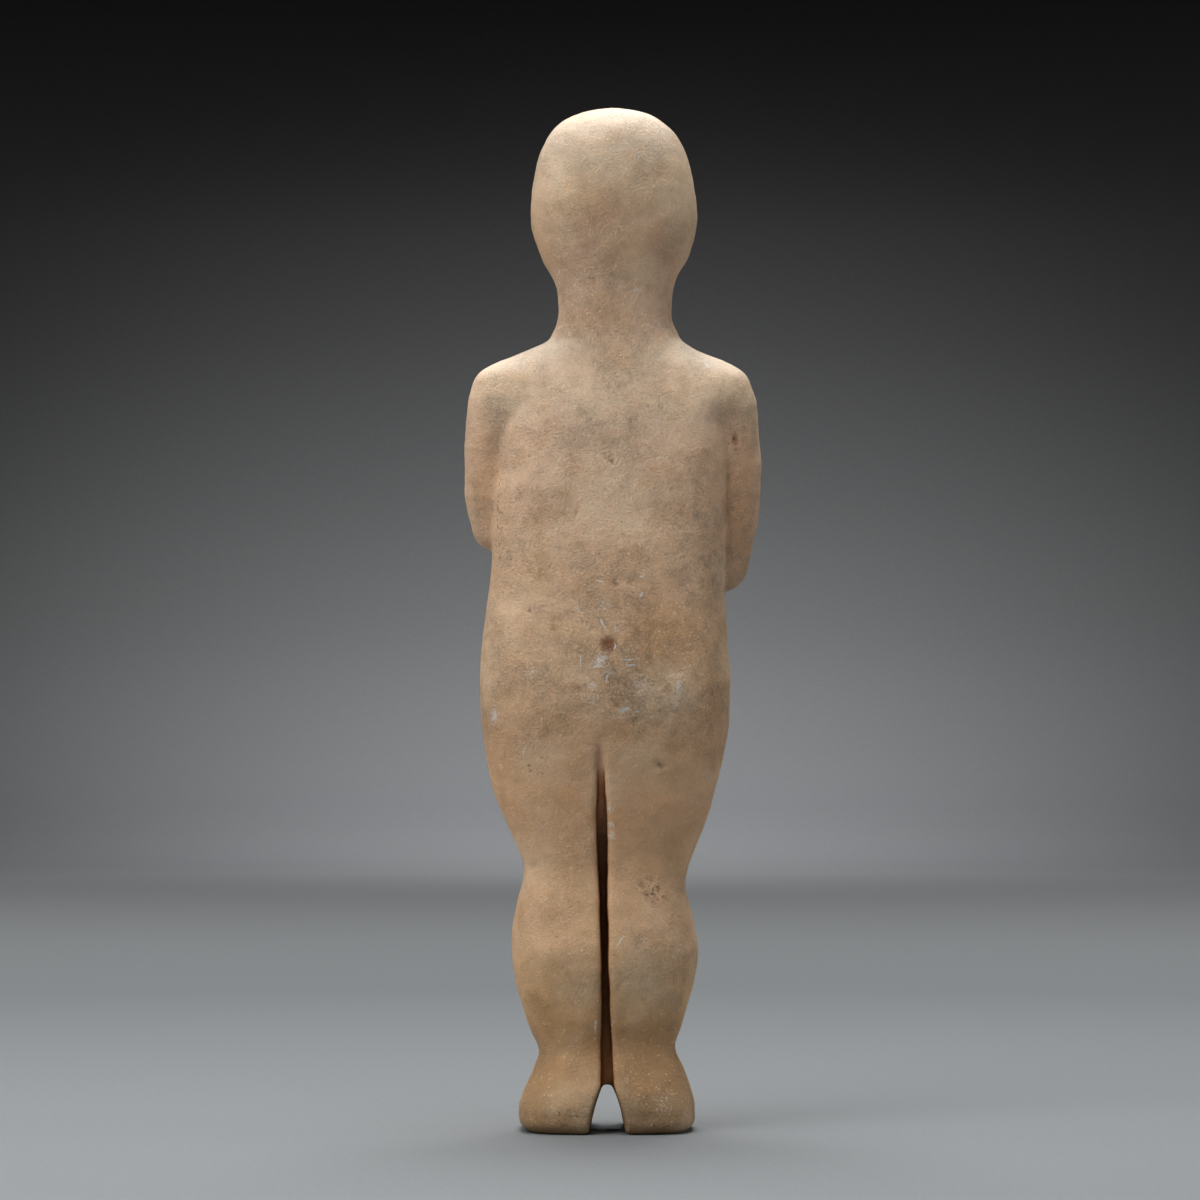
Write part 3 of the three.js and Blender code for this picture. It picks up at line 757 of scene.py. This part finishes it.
    def hollows(self, points: Array, normals: Array, reach: float) -> Array:
        """How shut in a place is: 1 less the free distance ahead of it, as a share of the reach."""
        slope = np.linalg.norm(self.form.slope(points), axis=1)
        return np.clip(1 - self.form.distance(points + reach * normals) / (reach * slope), 0, 1)

    def ridges(self, points: Array, normals: Array, reach: float) -> Array:
        """How proud a place is: 1 less the marble's depth behind it, as a share of the reach."""
        slope = np.linalg.norm(self.form.slope(points), axis=1)
        return np.clip(1 + self.form.distance(points - reach * normals) / (reach * slope), 0, 1)

    def build(self) -> bpy.types.Object:
        """Carve, wear and dress the figurine, and put it in the scene."""
        skin = self.carve()
        masks = self.wear(skin)
        scale = (cad_box[1].z - cad_box[0].z) / (self.form.trunk.height * MM) * MM
        piece = mesh_object("figurine_marble", skin.points * scale, skin.faces)
        for name, values in masks.items():
            layer = piece.data.attributes.new(name, "FLOAT", "POINT")
            layer.data.foreach_set("value", values.astype(np.float32))
        piece.data.materials.append(WeatheredMarble().material())
        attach(piece, "root")
        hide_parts(NODE)
        log.info("figurine: %d points, %d triangles", len(skin.points), 2 * len(skin.faces))
        return piece


def mesh_object(name: str, points: Array, faces: Array) -> bpy.types.Object:
    """Make a smooth-shaded object from points in metres and equal-sided faces.

    Args:
        name: The object's name.
        points: One row of x, y, z for each point.
        faces: One row of point numbers for each face.

    Returns:
        The object, linked to the scene, at the origin.
    """
    mesh = bpy.data.meshes.new(name)
    sides = faces.shape[1]
    mesh.vertices.add(len(points))
    mesh.vertices.foreach_set("co", points.astype(np.float32).ravel())
    mesh.loops.add(faces.size)
    mesh.loops.foreach_set("vertex_index", faces.astype(np.int32).ravel())
    mesh.polygons.add(len(faces))
    mesh.polygons.foreach_set("loop_start", np.arange(0, faces.size, sides, dtype=np.int32))
    mesh.polygons.foreach_set("loop_total", np.full(len(faces), sides, dtype=np.int32))
    mesh.polygons.foreach_set("use_smooth", np.ones(len(faces), dtype=bool))
    mesh.update(calc_edges=True)
    mesh.validate()
    thing = bpy.data.objects.new(name, mesh)
    bpy.context.scene.collection.objects.link(thing)
    return thing


# ---- Finishes -----------------------------------------------------------------------------------


def linear(colour: str) -> tuple[float, float, float, float]:
    """Turn an sRGB colour such as "#b99b7a" into linear red, green, blue and an alpha of 1."""
    parts = [int(colour[i:i + 2], 16) / 255 for i in (1, 3, 5)]
    red, green, blue = (c / 12.92 if c <= 0.04045 else ((c + 0.055) / 1.055) ** 2.4 for c in parts)
    return red, green, blue, 1.0


def per_metre(size: float) -> float:
    """A pattern's scale on Object coordinates for a feature of the given size in millimetres."""
    return 1 / (size * MM)


def node(
    tree: bpy.types.NodeTree,
    kind: str,
    settings: dict[str, object] | None = None,
    **links: object,
) -> bpy.types.Node:
    """Add a node with its settings, socket values and links.

    Args:
        tree: The material's node tree.
        kind: The node's type name, such as "ShaderNodeMix".
        settings: Node properties to set.
        **links: For each input, named with _ for spaces or as i0, i1 by number, a value to set or
            an output socket to link.

    Returns:
        The new node.
    """
    made = tree.nodes.new(kind)
    for name, value in (settings or {}).items():
        setattr(made, name, value)
    for name, value in links.items():
        numbered = name[0] == "i" and name[1:].isdigit()
        socket = made.inputs[int(name[1:])] if numbered else made.inputs[name.replace("_", " ")]
        if isinstance(value, bpy.types.NodeSocket):
            tree.links.new(value, socket)
        else:
            socket.default_value = value
    return made


def toned(
    ramp: bpy.types.Node, tones: tuple[tuple[float, str], ...], longest: float
) -> bpy.types.NodeSocket:
    """Fill a colour ramp with tones, each a distance and a colour, and give its colour output."""
    stops = ramp.color_ramp.elements
    while len(stops) < len(tones):
        stops.new(0.5)
    for stop, (distance, _) in zip(stops, tones):
        stop.position = distance / longest
    for stop, (_, tone) in zip(stops, tones):
        stop.color = linear(tone)
    return ramp.outputs["Color"]


@dataclass(frozen=True)
class Scratch:
    """A fine scratch on the back: a spindle seen from behind. Millimetres and degrees."""

    x: float
    z: float
    half_length: float
    half_width: float = 0.35
    turn: float = 0.0


@dataclass(frozen=True)
class WeatheredMarble:
    """Coarse-grained island marble, rubbed smooth with emery and long buried.

    The broken faces of its crystals make a fine hammered grain. Iron in the soil has tanned the
    white stone unevenly, warmer low down and greyer on the crown, brown soil stays in the cut lines,
    the pits and the pores, the cleft is given painted shade in a darker brown, the shoulder tops a
    painted highlight, and bruises and scratches show the white stone again.
    """

    # (height in millimetres, colour) from the soles to the crown
    tones: tuple[tuple[float, str], ...] = (
        (0, "#9c7d58"), (14, "#b08c63"), (24, "#c2986a"), (32, "#dcb07e"), (42, "#dcb388"), (52, "#d2ab84"),
        (66, "#d4ab82"), (84, "#dcae84"), (96, "#d2a880"), (112, "#cfac88"), (135, "#d6b08c"), (152, "#deb997"),
        (166, "#dbb899"), (178, "#d2b698"), (190, "#c8ab8f"), (198, "#c4a58a"), (207, "#cfae92"),
        (220, "#cba584"), (230, "#c6a787"), (241, "#b4a08a"),
    )
    height: float = NOMINAL_HEIGHT
    dusk: str = "#ae8252"
    warm: str = "#c68f5c"
    pale: str = "#f0d4b0"
    # painted highlight: the paler tone laid on the up-facing shoulder tops
    highlight_tone: str = "#d2c0aa"
    soil: str = "#5a3a1a"
    # painted shade: the darker brown laid in the cleft and faintly in the arm grooves
    cleft_shade: str = "#a5601f"
    rust: str = "#8f5a32"
    pink: str = "#bd9179"
    cream: str = "#f2d9b8"
    bruise: str = "#ece8e2"
    drift_size: float = 26.0
    mottle_size: float = 7.0
    blotch_size: float = 2.6
    grain_size: float = 0.55
    fleck_size: float = 0.62
    speck_size: float = 0.9
    patch_size: float = 9.0
    grain_relief: float = 0.8
    wobble: float = 2.0
    roughness: float = 0.62
    scratches: tuple[Scratch, ...] = (
        Scratch(7.8, 114.6, 2.4, 0.32, 88), Scratch(3.8, 113.5, 1.9, 0.3, 14), Scratch(1.0, 111.5, 2.2, 0.34, 52),
        Scratch(-3.2, 115.2, 3.2, 0.3, 4), Scratch(-4.4, 113.7, 1.9, 0.42, 8), Scratch(-2.9, 103.5, 2.2, 0.65, 14),
        Scratch(-5.9, 102.8, 1.7, 0.4, 2), Scratch(8.4, 127.4, 2.2, 0.3, -35), Scratch(2.2, 124.0, 1.6, 0.35, -62),
        Scratch(-7.0, 131.0, 1.3, 0.45, 60), Scratch(-6.9, 135.7, 1.2, 0.4, 30), Scratch(3.0, 134.0, 1.4, 0.3, -20),
        Scratch(-0.4, 118.2, 1.3, 0.3, 70), Scratch(-14.0, 111.5, 1.4, 0.3, 14), Scratch(4.4, 25.8, 2.8, 0.3, 88),
        Scratch(0.2, 25.4, 2.8, 0.3, 92), Scratch(21.6, 93.0, 2.6, 0.3, 78), Scratch(-5.5, 205.0, 1.3, 0.4, 25),
        Scratch(-1.6, 47.0, 2.4, 0.3, 50),
    )

    def material(self) -> bpy.types.Material:
        """Build the weathered marble material."""
        made = bpy.data.materials.new("weathered_marble")
        made.use_nodes = True
        tree = made.node_tree
        tree.nodes.clear()
        place = node(tree, "ShaderNodeTexCoord").outputs["Object"]
        relief = self.relief(tree, place)
        colour = self.stained(tree, place)
        colour = self.grained(tree, place, relief, colour)
        colour = self.soiled_and_shaded(tree, place, colour)
        colour = self.bruised(tree, place, colour)
        bump = node(tree, "ShaderNodeBump", Strength=1.0, Distance=self.grain_relief * MM, Height=relief)
        shader = node(
            tree,
            "ShaderNodeBsdfPrincipled",
            Base_Color=colour,
            Roughness=self.roughness,
            IOR=1.49,
            Normal=bump.outputs["Normal"],
        )
        node(tree, "ShaderNodeOutputMaterial", Surface=shader.outputs["BSDF"])
        return made

    def relief(self, tree: bpy.types.NodeTree, place: bpy.types.NodeSocket) -> bpy.types.NodeSocket:
        """The broken grain as a height about 0, strongest where the skin is rough or chipped, in patches."""
        grain = node(
            tree, "ShaderNodeTexNoise", Vector=place, Scale=per_metre(self.grain_size), Detail=4.0, Roughness=0.75
        ).outputs["Fac"]
        coarse = node(
            tree, "ShaderNodeTexNoise", Vector=place, Scale=per_metre(self.blotch_size), Detail=2.0, Roughness=0.6
        ).outputs["Fac"]
        patchy = node(tree, "ShaderNodeTexNoise", Vector=place, Scale=per_metre(self.patch_size), Detail=2.0)
        share = node(tree, "ShaderNodeMapRange", i0=patchy.outputs["Fac"], i1=0.35, i2=0.65, i3=0.55, i4=1.25)
        rough = node(tree, "ShaderNodeAttribute", {"attribute_name": "rough"}).outputs["Fac"]
        chipped = node(tree, "ShaderNodeAttribute", {"attribute_name": Stain.CHIP.value}).outputs["Fac"]
        broken = node(tree, "ShaderNodeMath", {"operation": "MULTIPLY_ADD"}, i0=chipped, i1=0.9, i2=rough)
        amount = node(tree, "ShaderNodeMath", {"operation": "MULTIPLY"}, i0=broken.outputs[0], i1=share.outputs[0])
        both = node(tree, "ShaderNodeMath", {"operation": "MULTIPLY_ADD"}, i0=coarse, i1=0.7, i2=grain)
        about = node(tree, "ShaderNodeMath", {"operation": "SUBTRACT"}, i0=both.outputs[0], i1=0.85)
        return node(
            tree, "ShaderNodeMath", {"operation": "MULTIPLY"}, i0=about.outputs[0], i1=amount.outputs[0]
        ).outputs[0]

    def masked(
        self, tree: bpy.types.NodeTree, name: str, torn: bpy.types.NodeSocket, tear: float, low: float, high: float
    ) -> bpy.types.NodeSocket:
        """Read a mask, tear its soft edge with noise, and stretch low..high to 0..1."""
        mask = node(tree, "ShaderNodeAttribute", {"attribute_name": name}).outputs["Fac"]
        edge = node(tree, "ShaderNodeMath", {"operation": "MULTIPLY_ADD"}, i0=torn, i1=tear, i2=-tear / 2)
        moved = node(tree, "ShaderNodeMath", {"operation": "ADD"}, i0=mask, i1=edge.outputs[0])
        return node(tree, "ShaderNodeMapRange", i0=moved.outputs[0], i1=low, i2=high).outputs[0]

    def stained(self, tree: bpy.types.NodeTree, place: bpy.types.NodeSocket) -> bpy.types.NodeSocket:
        """The broad stain: a tone for each height, mottled, with warm, dusky and pale areas over it, and a painted
        highlight on the up-facing shoulder tops.
        """
        drift = node(tree, "ShaderNodeTexNoise", Vector=place, Scale=per_metre(self.drift_size), Detail=3.0)
        mottle = node(
            tree, "ShaderNodeTexNoise", Vector=place, Scale=per_metre(self.mottle_size), Detail=5.0, Roughness=0.6
        ).outputs["Fac"]
        rise = node(tree, "ShaderNodeSeparateXYZ", i0=place).outputs["Z"]
        share = node(tree, "ShaderNodeMapRange", i0=rise, i1=0.0, i2=self.height * MM)
        wander = node(
            tree, "ShaderNodeMath", {"operation": "MULTIPLY_ADD"}, i0=drift.outputs["Fac"], i1=0.12, i2=-0.06
        )
        where = node(tree, "ShaderNodeMath", {"operation": "ADD"}, i0=share.outputs[0], i1=wander.outputs[0])
        colour = toned(node(tree, "ShaderNodeValToRGB", i0=where.outputs[0]), self.tones, self.height)
        layers = (
            (node(tree, "ShaderNodeMapRange", i0=mottle, i1=0.3, i2=0.52, i3=0.4, i4=0.0), self.dusk),
            (node(tree, "ShaderNodeMapRange", i0=drift.outputs["Fac"], i1=0.5, i2=0.72, i3=0.0, i4=0.5), self.pale),
            (node(tree, "ShaderNodeMapRange", i0=mottle, i1=0.56, i2=0.74, i3=0.0, i4=0.4), self.pink),
        )
        for amount, tone in layers:
            colour = node(
                tree, "ShaderNodeMix", {"data_type": "RGBA"}, i0=amount.outputs[0], i6=colour, i7=linear(tone)
            ).outputs[2]
        for stain, tone, most in (
            (Stain.WARM, self.warm, 0.5), (Stain.PALE, self.pale, 0.6), (Stain.DUSK, self.dusk, 0.75),
        ):
            mask = self.masked(tree, stain.value, mottle, 0.8, 0.1, 1.0)
            amount = node(tree, "ShaderNodeMath", {"operation": "MULTIPLY"}, i0=mask, i1=most)
            colour = node(
                tree, "ShaderNodeMix", {"data_type": "RGBA"}, i0=amount.outputs[0], i6=colour, i7=linear(tone)
            ).outputs[2]
        # Painted highlight: the up-facing shoulder tops are mixed towards a paler tone.
        painted_highlight = self.masked(tree, "painted_highlight", mottle, 0.5, 0.0, 1.1)
        return node(
            tree, "ShaderNodeMix", {"data_type": "RGBA"}, i0=painted_highlight, i6=colour, i7=linear(self.highlight_tone)
        ).outputs[2]

    def grained(
        self,
        tree: bpy.types.NodeTree,
        place: bpy.types.NodeSocket,
        relief: bpy.types.NodeSocket,
        colour: bpy.types.NodeSocket,
    ) -> bpy.types.NodeSocket:
        """Break the colour into grains: darker low down, with rusty blotches and clustered cream flecks."""
        light = node(tree, "ShaderNodeMapRange", i0=relief, i1=-0.3, i2=0.3, i3=0.8, i4=1.38)
        colour = node(
            tree, "ShaderNodeVectorMath", {"operation": "SCALE"}, i0=colour, Scale=light.outputs[0]
        ).outputs[0]
        blotch = node(
            tree, "ShaderNodeTexNoise", Vector=place, Scale=per_metre(self.blotch_size), Detail=4.0, Roughness=0.65
        ).outputs["Fac"]
        flecks = node(tree, "ShaderNodeTexVoronoi", {"feature": "F1"}, Vector=place, Scale=per_metre(self.fleck_size))
        chosen = node(tree, "ShaderNodeSeparateColor", i0=flecks.outputs["Color"]).outputs[0]
        chipped = node(tree, "ShaderNodeAttribute", {"attribute_name": Stain.CHIP.value}).outputs["Fac"]
        crowd = node(tree, "ShaderNodeMath", {"operation": "MULTIPLY_ADD"}, i0=chipped, i1=0.26, i2=chosen)
        thick = node(tree, "ShaderNodeMath", {"operation": "MULTIPLY_ADD"}, i0=blotch, i1=0.9, i2=crowd.outputs[0])
        some = node(tree, "ShaderNodeMapRange", i0=thick.outputs[0], i1=1.37, i2=1.47, i3=0.0, i4=0.6)
        small = node(tree, "ShaderNodeMapRange", i0=flecks.outputs["Distance"], i1=0.5, i2=0.3)
        fleck = node(tree, "ShaderNodeMath", {"operation": "MULTIPLY"}, i0=small.outputs[0], i1=some.outputs[0])
        rusty = node(tree, "ShaderNodeMapRange", i0=blotch, i1=0.56, i2=0.72, i3=0.0, i4=0.4)
        for amount, tone in ((rusty, self.warm), (fleck, self.cream)):
            colour = node(
                tree, "ShaderNodeMix", {"data_type": "RGBA"}, i0=amount.outputs[0], i6=colour, i7=linear(tone)
            ).outputs[2]
        return colour

    def soiled_and_shaded(
        self, tree: bpy.types.NodeTree, place: bpy.types.NodeSocket, colour: bpy.types.NodeSocket
    ) -> bpy.types.NodeSocket:
        """Lay brown soil in the pits, cut lines and pores and rust in its patches, and paint shade into the cleft and
        arm grooves as a darker brown.
        """
        fine = node(
            tree, "ShaderNodeTexNoise", Vector=place, Scale=per_metre(self.speck_size), Detail=4.0, Roughness=0.6
        ).outputs["Fac"]
        specked = node(tree, "ShaderNodeAttribute", {"attribute_name": Stain.SPECK.value}).outputs["Fac"]
        denser = node(tree, "ShaderNodeMath", {"operation": "MULTIPLY_ADD"}, i0=specked, i1=0.17, i2=fine)
        pores = node(tree, "ShaderNodeMapRange", i0=denser.outputs[0], i1=0.66, i2=0.76, i3=0.0, i4=0.7).outputs[0]
        pitted = self.masked(tree, "pitted", fine, 0.8, 0.25, 1.3)
        # Painted shade: a darker brown where the skin is shut in, in the cleft and faintly in the arm grooves.
        hollow = self.masked(tree, "hollow", fine, 0.25, 0.45, 0.95)
        rusted = self.masked(tree, Stain.RUST.value, fine, 0.7, 0.15, 0.9)
        for amount, tone in (
            (pores, self.soil), (pitted, self.soil), (rusted, self.rust), (hollow, self.cleft_shade),
        ):
            colour = node(
                tree, "ShaderNodeMix", {"data_type": "RGBA"}, i0=amount, i6=colour, i7=linear(tone)
            ).outputs[2]
        return colour

    def bruised(
        self, tree: bpy.types.NodeTree, place: bpy.types.NodeSocket, colour: bpy.types.NodeSocket
    ) -> bpy.types.NodeSocket:
        """Lay the white bruises and scratches, broken by the grain."""
        torn = node(
            tree, "ShaderNodeTexNoise", Vector=place, Scale=per_metre(self.grain_size), Detail=3.0, Roughness=0.75
        ).outputs["Fac"]
        white = self.masked(tree, Stain.BRUISE.value, torn, 3.2, 0.35, 1.15)
        bend = node(tree, "ShaderNodeTexNoise", Vector=place, Scale=per_metre(self.blotch_size), Detail=1.0)
        about = node(
            tree, "ShaderNodeVectorMath", {"operation": "SUBTRACT"}, i0=bend.outputs["Color"], i1=(0.5, 0.5, 0.5)
        )
        shift = node(
            tree, "ShaderNodeVectorMath", {"operation": "SCALE"}, i0=about.outputs[0], Scale=self.wobble * MM
        )
        bent = node(tree, "ShaderNodeVectorMath", {"operation": "ADD"}, i0=place, i1=shift.outputs[0]).outputs[0]
        for scratch in self.scratches:
            spot = node(
                tree, "ShaderNodeMapping", {"vector_type": "TEXTURE"}, Vector=bent,
                Location=(scratch.x * MM, 20 * MM, scratch.z * MM),
                Rotation=(0.0, math.radians(scratch.turn), 0.0),
                Scale=(scratch.half_length * MM, 30 * MM, scratch.half_width * MM),
            )
            spindle = node(tree, "ShaderNodeTexGradient", {"gradient_type": "SPHERICAL"}, Vector=spot.outputs["Vector"])
            edge = node(
                tree, "ShaderNodeMath", {"operation": "MULTIPLY_ADD"}, i0=torn, i1=1.2, i2=spindle.outputs["Fac"]
            )
            line = node(tree, "ShaderNodeMapRange", i0=edge.outputs[0], i1=0.75, i2=1.15)
            inside = node(
                tree, "ShaderNodeMath", {"operation": "GREATER_THAN"}, i0=spindle.outputs["Fac"], i1=0.01
            )
            kept = node(tree, "ShaderNodeMath", {"operation": "MULTIPLY"}, i0=line.outputs[0], i1=inside.outputs[0])
            white = node(tree, "ShaderNodeMath", {"operation": "MAXIMUM"}, i0=white, i1=kept.outputs[0]).outputs[0]
        amount = node(tree, "ShaderNodeMath", {"operation": "MULTIPLY"}, i0=white, i1=0.85)
        return node(
            tree, "ShaderNodeMix", {"data_type": "RGBA"}, i0=amount.outputs[0], i6=colour, i7=linear(self.bruise)
        ).outputs[2]


@dataclass(frozen=True)
class StudioPaper:
    """Grey seamless paper, matt, with a short fibre that shows close up, its tones painting a lighter pool of light on
    the floor and shade darkening up the wall.
    """

    # (run of the paper in metres, outward along the floor and then up the wall, and its colour)
    # The tones paint light: lighter from 0.84 to 1.4 m out to stand in for light on the floor, and darker up the wall
    # as painted shade.
    tones: tuple[tuple[float, str], ...] = (
        (0.0, "#777a7c"), (0.55, "#777a7c"), (0.84, "#888b8d"), (1.4, "#9b9da0"), (1.75, "#7e8083"),
        (2.2, "#767778"), (2.5, "#767778"), (2.8, "#7a7a7b"), (3.0, "#6b6a6a"), (3.15, "#4b4a4a"), (3.6, "#3a3a3a"),
    )
    longest: float = 4.0
    fibre_size: float = 1.4
    fibre: float = 0.07
    roughness: float = 0.9

    def material(self) -> bpy.types.Material:
        """Build the paper: its tone for each run, with its painted light and shade, broken by fibre."""
        made = bpy.data.materials.new("studio_paper")
        made.use_nodes = True
        tree = made.node_tree
        tree.nodes.clear()
        place = node(tree, "ShaderNodeTexCoord").outputs["Object"]
        flat = node(tree, "ShaderNodeVectorMath", {"operation": "MULTIPLY"}, i0=place, i1=(1.0, 1.0, 0.0))
        out = node(tree, "ShaderNodeVectorMath", {"operation": "LENGTH"}, i0=flat.outputs[0])
        up = node(tree, "ShaderNodeSeparateXYZ", i0=place).outputs["Z"]
        run = node(tree, "ShaderNodeMath", {"operation": "ADD"}, i0=out.outputs["Value"], i1=up)
        share = node(tree, "ShaderNodeMath", {"operation": "DIVIDE"}, i0=run.outputs[0], i1=self.longest)
        tone = toned(node(tree, "ShaderNodeValToRGB", i0=share.outputs[0]), self.tones, self.longest)
        strands = node(
            tree, "ShaderNodeTexNoise", Vector=place, Scale=per_metre(self.fibre_size), Detail=4.0, Roughness=0.6
        )
        light = node(
            tree, "ShaderNodeMapRange", i0=strands.outputs["Fac"], i1=0.3, i2=0.7, i3=1 - self.fibre, i4=1 + self.fibre
        )
        shade = node(tree, "ShaderNodeVectorMath", {"operation": "SCALE"}, i0=tone, Scale=light.outputs[0])
        shader = node(
            tree, "ShaderNodeBsdfPrincipled", Base_Color=shade.outputs[0], Roughness=self.roughness
        )
        node(tree, "ShaderNodeOutputMaterial", Surface=shader.outputs["BSDF"])
        return made


# ---- The studio ---------------------------------------------------------------------------------


@dataclass(frozen=True)
class Softbox:
    """A soft light that hangs somewhere and faces a target. Metres, watts and degrees."""

    name: str
    place: tuple[float, float, float]
    size: float
    power: float
    colour: str = "#ffffff"
    spread: float = 180.0

    def hang(self, target: tuple[float, float, float]) -> None:
        """Hang the light and turn it to the target."""
        lamp = bpy.data.lights.new(self.name, "AREA")
        lamp.shape = "SQUARE"
        lamp.size = self.size
        lamp.energy = self.power
        lamp.color = linear(self.colour)[:3]
        lamp.spread = math.radians(self.spread)
        holder = bpy.data.objects.new(self.name, lamp)
        holder.location = self.place
        way = np.subtract(target, self.place)
        holder.rotation_mode = "XYZ"
        holder.rotation_euler = (
            math.atan2(math.hypot(way[0], way[1]), -way[2]),
            0.0,
            math.atan2(-way[0], way[1]),
        )
        holder.visible_camera = False
        bpy.context.scene.collection.objects.link(holder)


@dataclass
class Studio:
    """Paper cove, lights and camera round the figure. Metres."""

    cove_radius: float = 1.5
    cove_bend: float = 1.4
    cove_height: float = 2.6
    sky: float = 0.0
    camera_distance: float = 1.5
    view_width: float = 0.2935
    view_x: float = 0.0031
    view_z: float = 0.1296
    sensor: float = 36.0
    washes: int = 4
    wash_out: float = 0.6
    wash_up: float = 0.78
    wash_aim: float = 2.0
    wash_size: float = 0.3
    wash_power: float = 1.2
    wash_spread: float = 36.0
    lights: tuple[Softbox, ...] = (
        Softbox("softbox_top", (0.0, 0.0, 0.83), 0.4, 3.2),
        Softbox("softbox_front", (0.0, -0.57, 1.354), 0.7, 16.0),
        Softbox("softbox_back", (0.0, 0.296, 0.764), 0.4, 1.4),
        Softbox("softbox_left_high", (0.379, 0.379, 0.58), 0.4, 2.7),
        Softbox("softbox_left", (0.676, 0.0, 0.311), 0.4, 1.0),
        Softbox("softbox_right", (-0.676, 0.0, 0.311), 0.4, 1.0),
    )

    def lay_cove(self) -> None:
        """Lay the paper: a profile of floor, bend and wall, turned a full circle about +Z."""
        bend = np.linspace(0, math.pi / 2, 13)
        floor = np.linspace(0.002, self.cove_radius, 12)
        wall = np.linspace(self.cove_bend, self.cove_height, 8)[1:]
        out = np.concatenate((floor, self.cove_radius + self.cove_bend * np.sin(bend[1:]),
                              np.full(len(wall), self.cove_radius + self.cove_bend)))
        up = np.concatenate((np.zeros(len(floor)), self.cove_bend * (1 - np.cos(bend[1:])), wall))
        turn = np.arange(96) * (2 * math.pi / 96)
        points = np.stack(
            (np.outer(out, np.cos(turn)), np.outer(out, np.sin(turn)), np.outer(up, np.ones_like(turn))), axis=-1
        ).reshape(-1, 3)
        row, column = np.meshgrid(np.arange(len(out) - 1), np.arange(len(turn)), indexing="ij")
        after = (column + 1) % len(turn)
        first, second = row * len(turn), (row + 1) * len(turn)
        faces = np.stack((first + column, second + column, second + after, first + after), axis=-1).reshape(-1, 4)
        cove = mesh_object("studio_cove", points, faces)
        cove.data.materials.append(StudioPaper().material())

    def aim_camera(self) -> None:
        """Set the camera behind the figure, level, square to its back."""
        lens = bpy.data.cameras.new("camera")
        lens.sensor_width = self.sensor
        lens.lens = self.sensor * self.camera_distance / self.view_width
        camera = bpy.data.objects.new("camera", lens)
        camera.location = (self.view_x, self.camera_distance, self.view_z)
        camera.rotation_euler = (math.pi / 2, 0, math.pi)
        bpy.context.scene.collection.objects.link(camera)
        bpy.context.scene.camera = camera

    def light(self) -> None:
        """Hang the lights, wash the paper on every side, and set an even sky at the studio's sky strength."""
        for softbox in self.lights:
            softbox.hang((0.0, 0.0, 0.12))
        for turn in range(self.washes):
            angle = turn * 2 * math.pi / self.washes
            way = (math.sin(angle), -math.cos(angle))
            wash = Softbox(
                f"wash_{turn}", (self.wash_out * way[0], self.wash_out * way[1], self.wash_up),
                self.wash_size, self.wash_power, spread=self.wash_spread,
            )
            wash.hang((self.wash_aim * way[0], self.wash_aim * way[1], 0.0))
        world = bpy.data.worlds.new("studio")
        world.use_nodes = True
        world.node_tree.nodes["Background"].inputs["Strength"].default_value = self.sky
        bpy.context.scene.world = world
        bpy.context.scene.view_settings.view_transform = "Standard"

    def build(self) -> None:
        """Lay the cove, aim the camera and hang the lights."""
        self.lay_cove()
        self.aim_camera()
        self.light()
        log.info("studio: cove, camera and %d softboxes", len(self.lights))


def main() -> None:
    """Build the figurine and the studio."""
    logging.basicConfig(level=logging.INFO, format="%(name)s %(message)s")
    Figurine().build()
    Studio().build()


if __name__ == "__main__":
    main()
